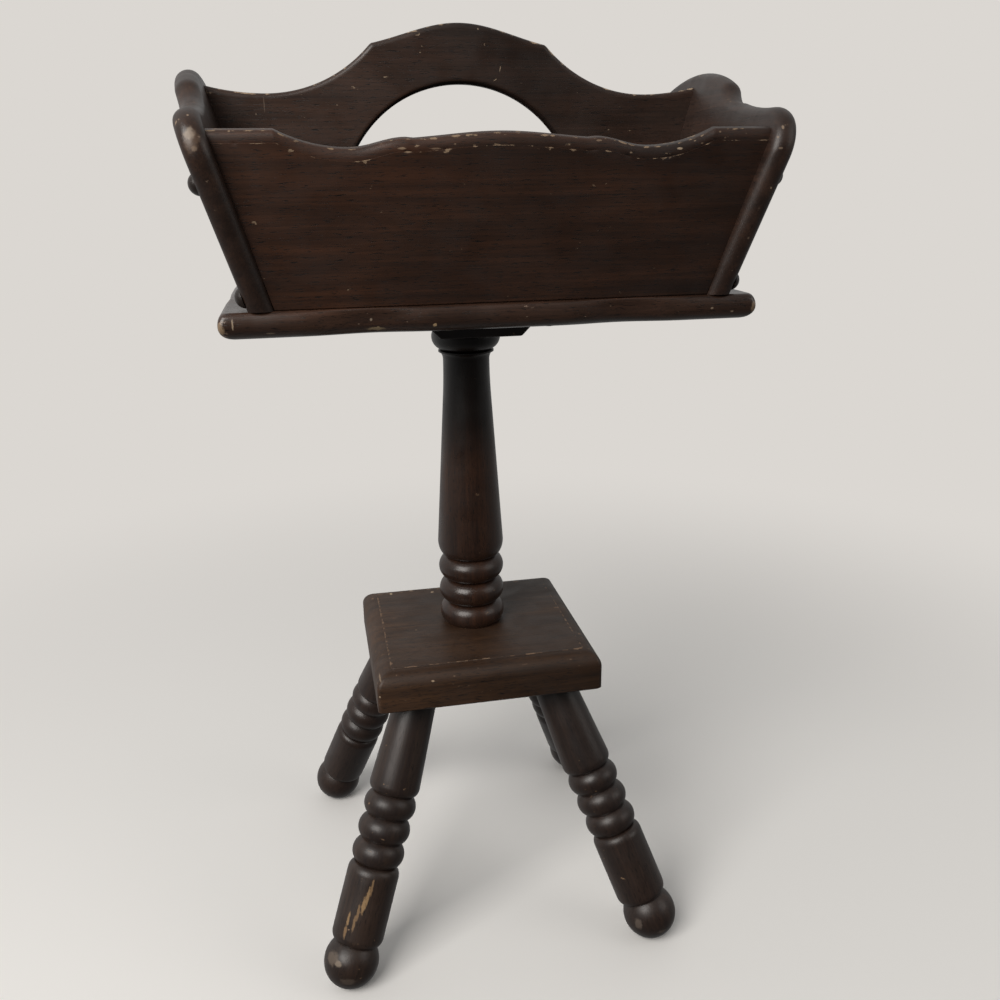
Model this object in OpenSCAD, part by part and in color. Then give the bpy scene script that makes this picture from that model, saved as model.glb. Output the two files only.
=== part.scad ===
// Bible stand: a book trough with two compartments and a handle divider, on a
// turned post, a small plate and four splayed turned legs. Every wooden piece
// is solid wood; the joints are glued, and screwed where screws are drawn.
// The origin is on the floor under the post. +Z is up and -Y is the front.

/* [Stand] */
// Distance between neighbouring feet, centre to centre
foot_spread = 272; // [250:1:300]
// Distance between neighbouring legs at the underside of the plate
leg_root_spread = 119; // [105:1:128]
// Height of the plate's underside above the floor
plate_height = 236; // [230:1:260]
// Length of the plate, left to right
plate_length = 196; // [190:1:220]
// Depth of the plate, front to back
plate_depth = 183; // [180:1:220]
// How far the plate's middle lies in front of the post
plate_forward = 6; // [0:0.5:8]
// Thickness of the plate
plate_thickness = 35; // [32:1:42]
// Radius of the rounding round the plate's top edge
plate_round = 13; // [6:0.5:18]
// Size of the small bevel round the plate's bottom edge
plate_bevel = 1.5; // [0.5:0.5:4]

/* [Legs] */
// Radius of the ball feet
ball_radius = 23.7; // [22:0.1:26]
// Thickness of the slice cut off each ball so that it stands flat
foot_flat = 1.7; // [0.5:0.1:3]
// Radius in the grooves between the leg's turned parts
leg_groove_radius = 17.5; // [15:0.1:19]
// Length of the plain cylinder above the ball
shank_length = 68; // [50:1:80]
// Radius of the plain cylinder
shank_radius = 22.7; // [21:0.1:25]
// Number of rings on each leg
leg_rings = 3; // [1:1:3]
// Height of one ring along the leg
leg_ring_pitch = 20.9; // [16:0.1:22]
// Outer radius of the leg's rings
leg_ring_radius = 22.9; // [21:0.1:25]
// Radius of the upper part at its wide lower end
taper_radius = 22.3; // [21:0.1:25]
// Radius of the upper part where it meets the plate
leg_root_radius = 17.9; // [15:0.1:20]
// Height of the rounded shoulders on the leg's plain parts
leg_shoulder = 7.5; // [4:0.5:10]
// Radius of the tenon that each leg has in the plate
leg_tenon_radius = 11; // [8:0.5:13]
// Length of that tenon, along the leg
leg_tenon_length = 22; // [15:1:24]

/* [Post] */
// Length of the post between the plate and the cleat
post_height = 275; // [240:0.5:340]
// Largest radius of the post's long taper
post_radius = 29.7; // [26:0.1:34]
// Radius of the post's neck
post_neck_radius = 20; // [16:0.1:24]
// Number of rings at the post's foot
post_rings = 3; // [1:1:4]
// Height of one ring
post_ring_pitch = 22.5; // [18:0.1:25]
// Outer radius of the rings
post_ring_radius = 29.6; // [27:0.1:34]
// Radius in the grooves between the rings
post_groove_radius = 21.8; // [19:0.1:24]
// How much of the lowest ring is turned away where it meets the plate
post_ring_cut = 2; // [0:0.1:4]
// Height of the rounded shoulder above the rings
post_shoulder = 14; // [8:0.5:18]
// Height of the round cap under the cleat
cap_height = 20.5; // [18:0.1:28]
// Radius of the cap's upper and lower edges
cap_edge_radius = 22.6; // [21.5:0.1:24]
// Outer radius of the cap
cap_radius = 29.4; // [27:0.1:33]
// Height of the hollow between the neck and the cap
cove_height = 7; // [3:0.5:10]
// Height of the straight lip between that hollow and the cap
lip_height = 2.5; // [0.5:0.5:4]
// Radius of that lip
lip_radius = 23.8; // [23:0.1:26]
// Radius of the tenons at both ends of the post
post_tenon_radius = 12.5; // [9:0.5:15]
// Length of the tenon in the plate
foot_tenon_length = 20; // [12:1:22]
// Length of the tenon in the cleat
head_tenon_length = 14; // [8:1:15]

/* [Cleat] */
// Width of the cleat at its top, left to right
cleat_width = 78; // [64:1:110]
// Length of the cleat, front to back
cleat_length = 156; // [120:1:220]
// Thickness of the cleat
cleat_thickness = 17.5; // [16:0.5:22]
// Size of the bevels along the cleat's lower long edges
cleat_bevel = 7; // [2:0.5:9]

/* [Tray base] */
// Length of the base board, left to right
base_length = 380; // [364:1:440]
// Depth of the base board, front to back
base_depth = 310; // [304:1:360]
// Thickness of the base board
base_thickness = 18; // [15:0.5:22]
// How far the rounded edge reaches in over the base board's top
base_top_round = 5; // [3:0.5:5]
// Depth of the shallow dips in the base board's edges
scallop_depth = 5; // [0:0.5:7]
// Half the length of the lobe in the middle of the front and back edges
front_lobe = 45; // [30:1:60]
// Length of the straight corner lobes on the front and back edges
front_corner = 50; // [35:1:60]
// Half the length of the lobe in the middle of the end edges
end_lobe = 15; // [5:1:25]
// Length of the straight corner lobes on the end edges
end_corner = 65; // [45:1:75]

/* [Tray sides] */
// Angle by which the end boards and their free edges lean outwards
end_splay = 15.6; // [10:0.1:18]
// Angle by which the front and back panels lean outwards
panel_splay = 12; // [8:0.1:15]
// Distance from the base board's ends to the end boards' inner faces
end_margin = 37.7; // [34:0.1:45]
// Distance from the base board's front and back edges to the panels' outer faces
panel_margin = 5.5; // [5:0.5:15]
// Thickness of the end boards
end_thickness = 17; // [15:0.5:19]
// Depth of the rounding round the end boards' free edges
end_nose = 7; // [3:0.5:8]
// How far the end boards' edges stand in front of the panels at the tray's floor
end_reveal = 4.5; // [3:0.5:6]
// Height of the end boards' corners, measured up the board
ear_rise = 132; // [122:1:145]
// Radius of the end boards' rounded corners
ear_radius = 27; // [15:1:32]
// Rise of the hollow from the corner to the foot of the hump
scoop_rise = 6.5; // [0:0.5:8]
// Half the length of the end boards' middle hump, at its rounded shoulders
hump_half = 62; // [50:1:75]
// Radius of the hump's shoulders
hump_shoulder_radius = 16; // [12:1:22]
// Radius of the hollow curve at the foot of the hump
hump_foot_radius = 40; // [16:1:44]
// Steepest angle of the hump's flanks
flank_angle = 49; // [40:1:60]
// Angle of the hump's top where its shoulders start
crown_angle = 21; // [14:1:28]

/* [Panels and divider] */
// Thickness of the front and back panels
panel_thickness = 12; // [10:0.5:14]
// Height of the panels at their corners, measured up the panel
panel_corner_height = 113; // [108:0.5:117]
// Height of the panels at their lowest dips
panel_dip_height = 101.7; // [96:0.1:105]
// Height of the panels at the small points beside the middle
panel_point_height = 107.6; // [105:0.1:112]
// Height of the panels in the middle
panel_middle_height = 111.1; // [108:0.1:117]
// Distance from the middle to where the panels' corners begin
panel_break = 143.4; // [135:0.1:150]
// Distance from the middle to the lowest dips
panel_dip = 98; // [90:1:110]
// Distance from the middle to the small points
panel_point = 62; // [50:1:75]
// Thickness of the divider
divider_thickness = 12; // [10:0.5:14]
// Height of the divider at its ends
divider_end_height = 150; // [140:0.5:155]
// Height of the divider at its lowest dips
divider_dip_height = 144.5; // [135:0.5:150]
// Height of the divider's shoulders
divider_shoulder_height = 180; // [170:0.5:188]
// Height of the divider in the middle
divider_top_height = 195; // [189:0.5:205]
// Distance from the middle to the divider's lowest dips
divider_dip = 150; // [130:1:165]
// Distance from the middle to the divider's shoulders
divider_shoulder = 68.5; // [60:0.5:80]
// Height of the hand hole's straight lower edge above the tray's floor
hole_bottom = 94; // [80:1:100]
// Height of the hand hole's top
hole_top = 151.5; // [145:0.5:158]
// Radius of the hand hole's arched edge
hole_radius = 97; // [92:1:105]
// Radius of the hand hole's lower corners
hole_corner = 8; // [4:0.5:12]

/* [Screws] */
// Radius of every wood screw's shank
screw_radius = 2.1; // [1.5:0.1:2.3]
// Radius of every wood screw's head
screw_head_radius = 4.2; // [3.5:0.1:4.6]
// Length of the screws through the end boards
side_screw_length = 36; // [28:1:45]
// Length of the screws up through the base board
base_screw_length = 32; // [26:1:34]
// Length of the screws up through the cleat
cleat_screw_length = 30; // [24:1:32]
// Height of the lower screws in the end boards, measured up the board
low_screw_rise = 14; // [12:1:24]
// Height of the upper screws at the panels, measured up the board
panel_screw_rise = 88; // [60:1:92]
// Height of the upper screws at the divider, measured up the board
divider_screw_rise = 112; // [90:1:125]
// Radius of the round wooden buttons over the screws
button_radius = 7; // [6:0.1:9]
// Height of a button's dome
button_height = 5; // [3:0.5:7]
// Radius of a button's plug
plug_radius = 4.8; // [4.7:0.1:5.8]
// Depth of a button's plug in the end board
plug_depth = 5; // [4:0.5:7]
// Distance between the two screws under each panel
panel_screw_spacing = 72; // [60:1:78]
// Distance between the two screws under the divider
divider_screw_spacing = 200; // [120:1:230]
// Distance between the two screws under each end board
end_screw_spacing = 180; // [90:1:200]
// Distance between the cleat's screws, left to right
cleat_screw_gauge = 46; // [36:1:50]
// Distance between the cleat's screws, front to back
cleat_screw_spacing = 110; // [70:1:112]
// Radius of the lag screw that holds the post's foot
lag_radius = 4; // [3:0.5:5]
// Length of the lag screw
lag_length = 60; // [40:1:80]
// Radius of the lag screw's washer
washer_radius = 11; // [9:0.5:13]
// Thickness of the washer
washer_thickness = 1.6; // [1:0.1:2.5]
// Depth of the recess for the lag screw's head in the plate
lag_recess = 8; // [7.5:0.5:10]

/* [Hidden] */

// Clearance between a screw, tenon or plug and its hole
fit = 0.1;
// Roundness of turned and drilled surfaces
$fn = 72;
// Steps along one curved stretch of an outline
curve_steps = 12;
// Length by which a cut runs past the surface it opens
over = 1;
// Height of the cone under a screw's head and of its point
screw_head_height = 2.6;
screw_point = 5;
lag_head_height = 5;

walnut = "#3d2619";
dark_walnut = "#2f1d14";
steel = "#8c8c88";

// Room between the end boards, and between the panels' outer faces, at the
// floor of the tray
floor_length = base_length - 2 * end_margin;
floor_depth = base_depth - 2 * panel_margin;

// Heights above the floor, from the plate upwards
plate_top = plate_height + plate_thickness;
cleat_bottom = plate_top + post_height;
base_bottom = cleat_bottom + cleat_thickness;
base_top = base_bottom + base_thickness;

// A leg's axis runs from the centre of its ball to the plate's underside
ball_centre = ball_radius - foot_flat;
leg_reach = (foot_spread - leg_root_spread) / 2;
leg_rise = plate_height - ball_centre;
leg_length = norm([leg_reach, leg_reach, leg_rise]);
leg_tilt = atan2(leg_reach * sqrt(2), leg_rise);

// Points from a to b, without b
function steps(a, b, n = curve_steps) = [for (i = [0 : n - 1]) a + (b - a) * i / n];

// Points on a circle between two angles
function arc(centre, radius, from, to, n = curve_steps) =
    [for (i = [0 : n]) let (a = from + (to - from) * i / n) centre + radius * [cos(a), sin(a)]];

// Circular bulge of a turned profile, [radius, height] from low to high
function bulge(low, high, inner, outer) = let (
        half = (high - low) / 2,
        depth = outer - inner,
        r = (half * half + depth * depth) / (2 * depth),
        reach = asin(min(1, half / r))
    ) arc([outer - r, (low + high) / 2], r, -reach, reach);

// Quarter of an ellipse that leaves the groove level and ends upright
function shoulder(low, high, groove, outer) =
    [for (a = steps(0, 90)) [groove + (outer - groove) * sin(a), low + (high - low) * (1 - cos(a))]];

// The same shoulder upside down, upright first
function shoulder_down(low, high, outer, groove) =
    [for (a = steps(0, 90)) [groove + (outer - groove) * cos(a), low + (high - low) * sin(a)]];

// ---------------------------------------------------------------- helpers

// Closed shell through rings of equally many points, from low to high, with
// every ring running anticlockwise as seen from above; each end is closed by
// a fan of triangles round a point that sees the whole ring
module skin(rings, low_centre, high_centre) {
    n = len(rings[0]);
    top = (len(rings) - 1) * n;
    low = len(rings) * n;
    high = low + 1;
    polyhedron(
        points = concat([for (ring = rings) each ring], [low_centre, high_centre]),
        faces = [for (i = [0 : n - 1]) let (j = (i + 1) % n) each concat(
            [[low, i, j], [high, top + j, top + i]],
            [for (k = [0 : n : top - n]) each [[k + i, k + n + i, k + n + j], [k + i, k + n + j, k + j]]]
        )]
    );
}

// Copies at both signs of x and y
module four_corners() {
    for (sx = [-1, 1], sy = [-1, 1]) at_corner(sx, sy) children();
}

// The children, drawn for +x and +y, at the corner with the given signs
module at_corner(sx, sy) {
    mirror([sx < 0 ? 1 : 0, 0, 0]) mirror([0, sy < 0 ? 1 : 0, 0]) children();
}

// Countersunk wood screw along +Z, with the top of its head at the origin;
// grow widens and lengthens it for the hole that it is driven into
module wood_screw(length, grow = 0) {
    rotate_extrude() polygon([
        [0, -grow], [screw_head_radius + grow, -grow], [screw_head_radius + grow, 0],
        [screw_radius + grow, screw_head_height], [screw_radius + grow, length - screw_point],
        [0, length + grow]
    ]);
}

// ------------------------------------------------------------- base board

// Depth of the edge's dip at a distance from its middle
function dip(s, lobe, corner) = let (a = abs(s))
    a <= lobe || a >= corner ? 0 : scallop_depth * (1 - cos(360 * (a - lobe) / (corner - lobe))) / 2;

// Stations along one edge, from its middle outwards
function stations(half, lobe, corner) = concat([0], steps(lobe, corner, 10), [corner, half]);

// Stations along one edge from one corner to just before the next
function edge_stations(half, lobe, corner) = let (s = stations(half, lobe, corner), n = len(s))
    concat([for (i = [n - 1 : -1 : 1]) -s[i]], [for (i = [0 : n - 2]) s[i]]);

// The base board's outline, drawn in by inset, at a height and with a share of its dips
function base_ring(inset, z, share) = let (
        hx = base_length / 2,
        hy = base_depth / 2,
        kx = (hx - inset) / hx,
        ky = (hy - inset) / hy,
        front_start = hx - front_corner,
        end_start = hy - end_corner,
        long = edge_stations(hx, front_lobe, front_start),
        short = edge_stations(hy, end_lobe, end_start)
    ) concat(
        [for (s = long) [s * kx, -hy + inset + share * dip(s, front_lobe, front_start), z]],
        [for (s = short) [hx - inset - share * dip(s, end_lobe, end_start), s * ky, z]],
        [for (s = long) [-s * kx, hy - inset - share * dip(s, front_lobe, front_start), z]],
        [for (s = short) [-hx + inset + share * dip(s, end_lobe, end_start), -s * ky, z]]
    );

// Board with a rounded edge all round, fuller above than below. The dips fade out
// towards the top, so that the boards that stand on it are carried to their faces.
module base_blank() {
    r = base_thickness / 2;
    skin(
        [for (a = [-90 : 30 : 90]) base_ring(
            (a < 0 ? r : base_top_round) * (1 - cos(a)), base_bottom + r + r * sin(a),
            1 - pow(max(0, sin(a)), 2))],
        [0, 0, base_bottom], [0, 0, base_top]
    );
}

module base_board() {
    color(walnut) difference() {
        base_blank();
        base_screw_places() wood_screw(base_screw_length, fit);
        cleat_screw_places() wood_screw(cleat_screw_length, fit);
    }
}

// ------------------------------------------------------------- tray sides

// Distance from the middle to an end board's inner face at a height over the floor
function inner_face(h) = floor_length / 2 + tan(end_splay) * h;

// Lean of the end boards' free edges within the board
edge_lean = atan(sin(end_splay));
// Position of those edges at the tray's floor
edge_foot = floor_depth / 2 + end_reveal;

// Half of an end board's outline, [depth, rise], from the front foot to the middle
function end_half() = let (
        low = -end_thickness,
        centre_rise = ear_rise - ear_radius,
        centre = [-edge_foot + (ear_radius - centre_rise * sin(edge_lean)) / cos(edge_lean), centre_rise],
        crown_radius = hump_half / sin(crown_angle),
        foot = [
            -hump_half - hump_shoulder_radius * (sin(flank_angle) - sin(crown_angle))
                - hump_foot_radius * sin(flank_angle),
            ear_rise + scoop_rise
        ],
        mid = foot + hump_foot_radius * [sin(flank_angle), 1 - cos(flank_angle)],
        crown = mid + hump_shoulder_radius
            * [sin(flank_angle) - sin(crown_angle), cos(crown_angle) - cos(flank_angle)]
    ) concat(
        [[-edge_foot - low * tan(edge_lean), low]],
        arc(centre, ear_radius, 180 + edge_lean, 90, 10),
        [for (t = steps(0.25, 1, 3)) [centre[0] + (foot[0] - centre[0]) * t, ear_rise + scoop_rise * t * t]],
        arc(foot + [0, hump_foot_radius], hump_foot_radius, -90, -90 + flank_angle, 6),
        [for (i = [1 : 6]) let (a = flank_angle + (crown_angle - flank_angle) * i / 6)
            mid + hump_shoulder_radius * [sin(flank_angle) - sin(a), cos(a) - cos(flank_angle)]],
        [for (i = [1 : 7]) let (a = crown_angle * (1 - i / 8))
            crown + crown_radius * [sin(crown_angle) - sin(a), cos(a) - cos(crown_angle)]]
    );

// Whole outline, anticlockwise from the back foot over the hump to the front foot
function end_outline() = let (
        half = end_half(),
        n = len(half),
        crown_radius = hump_half / sin(crown_angle),
        last = half[n - 1],
        step_angle = crown_angle / 8,
        peak = [0, last[1] + crown_radius * (1 - cos(step_angle))]
    ) concat([for (p = half) [-p[0], p[1]]], [peak], [for (i = [n - 1 : -1 : 0]) half[i]]);

// Outline moved inwards by a distance, square to itself; the foot stays open below
function drawn_in(points, distance) = let (n = len(points)) [
    for (i = [0 : n - 1]) let (
        before = points[max(i - 1, 0)],
        after = points[min(i + 1, n - 1)],
        d = (after - before) / norm(after - before)
    ) points[i] + distance * [-d[1], d[0]]
];

// One board, lying upright with its inner face on x = 0, with round free edges
module end_blank() {
    outline = end_outline();
    half = end_thickness / 2;
    skin(
        [for (a = [-90 : 30 : 90]) let (ring = drawn_in(outline, end_nose * (1 - cos(a))))
            [for (p = ring) [p[0], p[1], half + half * sin(a)]]],
        [0, ear_rise / 2, 0], [0, ear_rise / 2, end_thickness]
    );
}

// Leans its children into the place of the right end board
module at_right_end() {
    translate([floor_length / 2, 0, base_top]) rotate([0, end_splay, 0]) children();
}

// Turns depth, rise and thickness into y, z and x
module upright_end() {
    multmatrix([[0, 0, 1, 0], [1, 0, 0, 0], [0, 1, 0, 0]]) children();
}

module right_side() {
    difference() {
        at_right_end() upright_end() end_blank();
        translate([0, -base_depth, base_top - base_thickness * 2])
            cube([base_length, base_depth * 2, base_thickness * 2]);
        side_screw_places() {
            wood_screw(side_screw_length, fit);
            translate([0, 0, -plug_depth - over]) cylinder(h = plug_depth + over + fit, r = plug_radius + fit);
        }
        base_screw_places() wood_screw(base_screw_length, fit);
    }
}

module right_end_board() {
    color(walnut) right_side();
}

module left_end_board() {
    color(walnut) mirror([1, 0, 0]) right_side();
}

// ----------------------------------------------------- panels and divider

// Space between the end boards, over the tray's floor
module between_ends() {
    h = divider_top_height + over;
    translate([0, base_depth, base_top]) rotate([90, 0, 0]) linear_extrude(base_depth * 2)
        polygon([[-inner_face(0), 0], [inner_face(0), 0], [inner_face(h), h], [-inner_face(h), h]]);
}

// Height of a circular sweep of a given run and rise, at part of its run
function sweep(run, rise, s) = let (r = (run * run + rise * rise) / (2 * rise)) r - sqrt(r * r - s * s);

// Flat arch between a parabola and a cosine, 1 in the middle and 0 at t = 1
function arch(t) = 0.5 * (1 - t * t) + 0.25 * (1 + cos(180 * t));

// Width and depth of the small dips just inside the panel's points
point_width = 5;
point_dip = 0.5;

// Half of the panel's top edge, from its middle outwards
function panel_half() = let (inside = panel_point - point_width) concat(
    [for (x = steps(0, inside)) [x,
        panel_point_height - point_dip
            + (panel_middle_height - panel_point_height + point_dip) * arch(x / inside)]],
    [[inside, panel_point_height - point_dip]],
    [for (x = steps(panel_point, panel_dip)) [x,
        panel_dip_height + (panel_point_height - panel_dip_height)
            * (1 + cos(180 * (x - panel_point) / (panel_dip - panel_point))) / 2]],
    [for (x = steps(panel_dip, panel_break)) [x,
        panel_dip_height + sweep(panel_break - panel_dip, panel_corner_height - panel_dip_height, x - panel_dip)]],
    [[panel_break, panel_corner_height], [inner_face(panel_corner_height) + panel_thickness, panel_corner_height]]
);

// Half outline made whole, closed along a line at a given height
function both_ways(half, low) = let (n = len(half)) concat(
    [[half[n - 1][0], low]],
    [for (i = [n - 1 : -1 : 1]) half[i]],
    half[0][0] == 0 ? [half[0]] : [],
    [for (i = [1 : n - 1]) [-half[i][0], half[i][1]]],
    [[-half[n - 1][0], low]]
);

module front_side() {
    difference() {
        intersection() {
            translate([0, -floor_depth / 2, base_top]) rotate([panel_splay, 0, 0])
                translate([0, panel_thickness, 0]) rotate([90, 0, 0])
                linear_extrude(panel_thickness) polygon(both_ways(panel_half(), -panel_thickness));
            between_ends();
        }
        both_sides() side_screw_places() wood_screw(side_screw_length, fit);
        base_screw_places() wood_screw(base_screw_length, fit);
    }
}

// The children and their mirror image at the other end of the tray
module both_sides() {
    children();
    mirror([1, 0, 0]) children();
}

module front_panel() {
    color(walnut) front_side();
}

module back_panel() {
    color(walnut) mirror([0, 1, 0]) front_side();
}

// Half of the divider's top edge, from its middle outwards
function divider_half() = let (
        round = 1.5,
        run = divider_dip - divider_shoulder - round,
        rise = divider_shoulder_height - divider_dip_height - round,
        end_x = inner_face(divider_end_height)
    ) concat(
        [for (x = steps(0, divider_shoulder)) [x, divider_shoulder_height
            + (divider_top_height - divider_shoulder_height) * arch(x / divider_shoulder)]],
        [[divider_shoulder, divider_shoulder_height]],
        [for (x = steps(run, 0)) [divider_dip - x, divider_dip_height + sweep(run, rise, x)]],
        [for (x = steps(0, end_x - divider_dip)) [divider_dip + x, divider_dip_height
            + sweep(end_x - divider_dip, divider_end_height - divider_dip_height, x)]],
        [[end_x, divider_end_height]]
    );

// Half-moon hand hole with a straight lower edge and round lower corners
module hand_hole() {
    centre_height = hole_top - hole_radius;
    corner_height = hole_bottom + hole_corner;
    corner_x = sqrt(pow(hole_radius - hole_corner, 2) - pow(corner_height - centre_height, 2));
    corner_angle = atan2(corner_height - centre_height, corner_x);
    polygon(concat(
        arc([corner_x, corner_height], hole_corner, -90, corner_angle, 8),
        arc([0, centre_height], hole_radius, corner_angle, 180 - corner_angle, 32),
        arc([-corner_x, corner_height], hole_corner, 180 - corner_angle, 270, 8)
    ));
}

module divider() {
    color(walnut) difference() {
        translate([0, divider_thickness / 2, base_top]) rotate([90, 0, 0])
            linear_extrude(divider_thickness) difference() {
                intersection() {
                    polygon(both_ways(divider_half(), 0));
                    polygon([for (h = [0, divider_top_height]) [inner_face(h), h],
                        for (h = [divider_top_height, 0]) [-inner_face(h), h]]);
                }
                hand_hole();
            }
        both_sides() side_screw_places() wood_screw(side_screw_length, fit);
        base_screw_places() wood_screw(base_screw_length, fit);
    }
}

// ---------------------------------------------------------- cleat and post

module cleat() {
    color(dark_walnut) difference() {
        translate([0, cleat_length / 2, cleat_bottom]) rotate([90, 0, 0]) linear_extrude(cleat_length)
            polygon([
                [-cleat_width / 2 + cleat_bevel, 0], [cleat_width / 2 - cleat_bevel, 0],
                [cleat_width / 2, cleat_bevel], [cleat_width / 2, cleat_thickness],
                [-cleat_width / 2, cleat_thickness], [-cleat_width / 2, cleat_bevel]
            ]);
        translate([0, 0, cleat_bottom - over])
            cylinder(h = head_tenon_length + fit + over, r = post_tenon_radius + fit);
        cleat_screw_places() wood_screw(cleat_screw_length, fit);
    }
}

// The post's outline over the plate, [radius, height], from its foot to its cap
function post_outline() = let (
        rings_top = post_rings * post_ring_pitch - post_ring_cut,
        taper_low = rings_top + post_shoulder,
        cap_low = post_height - cap_height,
        neck_top = cap_low - lip_height - cove_height,
        neck_low = neck_top - cove_height * 2,
        all_rings = [for (i = [0 : post_rings - 1]) each bulge(
            i * post_ring_pitch - post_ring_cut, (i + 1) * post_ring_pitch - post_ring_cut,
            post_groove_radius, post_ring_radius)]
    ) concat(
        [for (p = all_rings) if (p[1] > 0.5) p],
        shoulder(rings_top, taper_low, post_groove_radius, post_radius),
        [[post_radius, taper_low]],
        [for (t = [0 : 0.25 : 1]) [post_neck_radius + 0.8 * (1 - t) * (1 - t), neck_low - cove_height * 2
            + (neck_top - neck_low + cove_height * 2) * t]],
        [for (a = steps(0, 90, 6)) [post_neck_radius + (lip_radius - post_neck_radius) * (1 - cos(a)),
            neck_top + cove_height * sin(a)]],
        [[lip_radius, cap_low - lip_height], [lip_radius, cap_low]],
        bulge(cap_low, post_height, cap_edge_radius, cap_radius)
    );

module post() {
    contact = post_groove_radius + (post_ring_radius - post_groove_radius) * min(1, post_ring_cut / 4);
    color(walnut) difference() {
        translate([0, 0, plate_top]) rotate_extrude() polygon(concat(
            [[0, -foot_tenon_length], [post_tenon_radius, -foot_tenon_length], [post_tenon_radius, 0], [contact, 0]],
            post_outline(),
            [[post_tenon_radius, post_height], [post_tenon_radius, post_height + head_tenon_length],
                [0, post_height + head_tenon_length]]
        ));
        lag_place() lag_hole(fit);
    }
}

// ----------------------------------------------------------- plate and legs

// Side view of the plate for a given width, rounded above and bevelled below
function plate_profile(width) = let (h = width / 2) concat(
    [[h - plate_bevel, 0], [h, plate_bevel]],
    arc([h - plate_round, plate_thickness - plate_round], plate_round, 0, 90, 10),
    arc([-h + plate_round, plate_thickness - plate_round], plate_round, 90, 180, 10),
    [[-h, plate_bevel], [-h + plate_bevel, 0]]
);

module plate() {
    color(walnut) difference() {
        translate([0, -plate_forward, plate_height]) intersection() {
            translate([0, plate_depth / 2, 0]) rotate([90, 0, 0])
                linear_extrude(plate_depth) polygon(plate_profile(plate_length));
            translate([-plate_length / 2, 0, 0]) rotate([90, 0, 90])
                linear_extrude(plate_length) polygon(plate_profile(plate_depth));
        }
        translate([0, 0, plate_top - foot_tenon_length - fit])
            cylinder(h = foot_tenon_length + fit + over, r = post_tenon_radius + fit);
        four_corners() along_leg() translate([0, 0, leg_length - leg_tenon_length])
            cylinder(h = leg_tenon_length * 2 + fit, r = leg_tenon_radius + fit);
        lag_place() {
            lag_hole(fit);
            translate([0, 0, -lag_recess - over])
                cylinder(h = lag_recess + over, r = washer_radius + fit * 5);
        }
    }
}

// Puts its children on the axis of the leg at +x and +y, with the origin at the
// ball's centre and +Z up the leg
module along_leg() {
    translate([foot_spread / 2, foot_spread / 2, ball_centre])
        rotate([0, 0, 225]) rotate([0, leg_tilt, 0]) children();
}

// A leg's outline, [radius, distance from the ball's centre], up to the plate
function leg_outline() = let (
        shank_low = sqrt(ball_radius * ball_radius - leg_groove_radius * leg_groove_radius),
        shank_high = shank_low + shank_length,
        rings_high = shank_high + leg_rings * leg_ring_pitch,
        ball_reach = atan2(shank_low, leg_groove_radius)
    ) concat(
        arc([0, 0], ball_radius, -90, ball_reach, 24),
        shoulder(shank_low, shank_low + leg_shoulder, leg_groove_radius, shank_radius),
        shoulder_down(shank_high - leg_shoulder, shank_high, shank_radius, leg_groove_radius),
        [for (i = [0 : leg_rings - 1]) each bulge(
            shank_high + i * leg_ring_pitch, shank_high + (i + 1) * leg_ring_pitch,
            leg_groove_radius, leg_ring_radius)],
        shoulder(rings_high, rings_high + leg_shoulder, leg_groove_radius, taper_radius),
        [[taper_radius, rings_high + leg_shoulder]]
    );

// One leg in its place at +x and +y, cut level at the floor and the plate,
// with a tenon that goes on up its axis
module leg() {
    past = leg_root_radius * 2;
    intersection() {
        along_leg() rotate_extrude() polygon(concat(
            leg_outline(),
            [[leg_root_radius, leg_length], [leg_root_radius, leg_length + past], [0, leg_length + past]]
        ));
        translate([-foot_spread, -foot_spread, 0]) cube([foot_spread * 2, foot_spread * 2, plate_height]);
    }
    along_leg() translate([0, 0, leg_length - leg_root_radius])
        cylinder(h = leg_root_radius + leg_tenon_length, r = leg_tenon_radius);
}

module front_left_leg() {
    color(walnut) at_corner(-1, -1) leg();
}

module front_right_leg() {
    color(walnut) at_corner(1, -1) leg();
}

module back_left_leg() {
    color(walnut) at_corner(-1, 1) leg();
}

module back_right_leg() {
    color(walnut) at_corner(1, 1) leg();
}

// ----------------------------------------------------- screws and buttons

// Distance past the end board's inner face to the middle of a screw's bite
side_bite = (side_screw_length - end_thickness + plug_depth) / 2;

// Position of a panel's middle plane at the bite of a screw at this rise
function panel_screw_y(rise) = floor_depth / 2 - panel_thickness / 2 / cos(panel_splay)
    + tan(panel_splay) * (rise * cos(end_splay) + side_bite * sin(end_splay));

// [y, rise] of every screw through one end board
side_screws = concat(
    [for (rise = [low_screw_rise, panel_screw_rise], sign = [-1, 1]) [sign * panel_screw_y(rise), rise]],
    [for (rise = [low_screw_rise, divider_screw_rise]) [0, rise]]
);

// Children at each screw of the right end board, at the bottom of its recess
// and pointing inwards
module side_screw_places() {
    for (s = side_screws) at_right_end() translate([end_thickness - plug_depth, s[0], s[1]])
        rotate([0, -90, 0]) children();
}

module right_end_screws() {
    color(steel) side_screw_places() wood_screw(side_screw_length);
}

module left_end_screws() {
    color(steel) mirror([1, 0, 0]) side_screw_places() wood_screw(side_screw_length);
}

// Domed button with a plug that fills the recess over the screw
module button() {
    dome = (button_radius * button_radius + button_height * button_height) / (2 * button_height);
    rim = asin(button_radius / dome);
    rotate_extrude() polygon(concat(
        [[0, fit - plug_depth], [plug_radius, fit - plug_depth], [plug_radius, 0]],
        [for (a = steps(rim, 0)) [dome * sin(a), button_height - dome + dome * cos(a)]],
        [[0, button_height]]
    ));
}

module right_side_buttons() {
    for (s = side_screws) at_right_end() translate([end_thickness, s[0], s[1]])
        rotate([0, 90, 0]) button();
}

module right_buttons() {
    color(dark_walnut) right_side_buttons();
}

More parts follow.
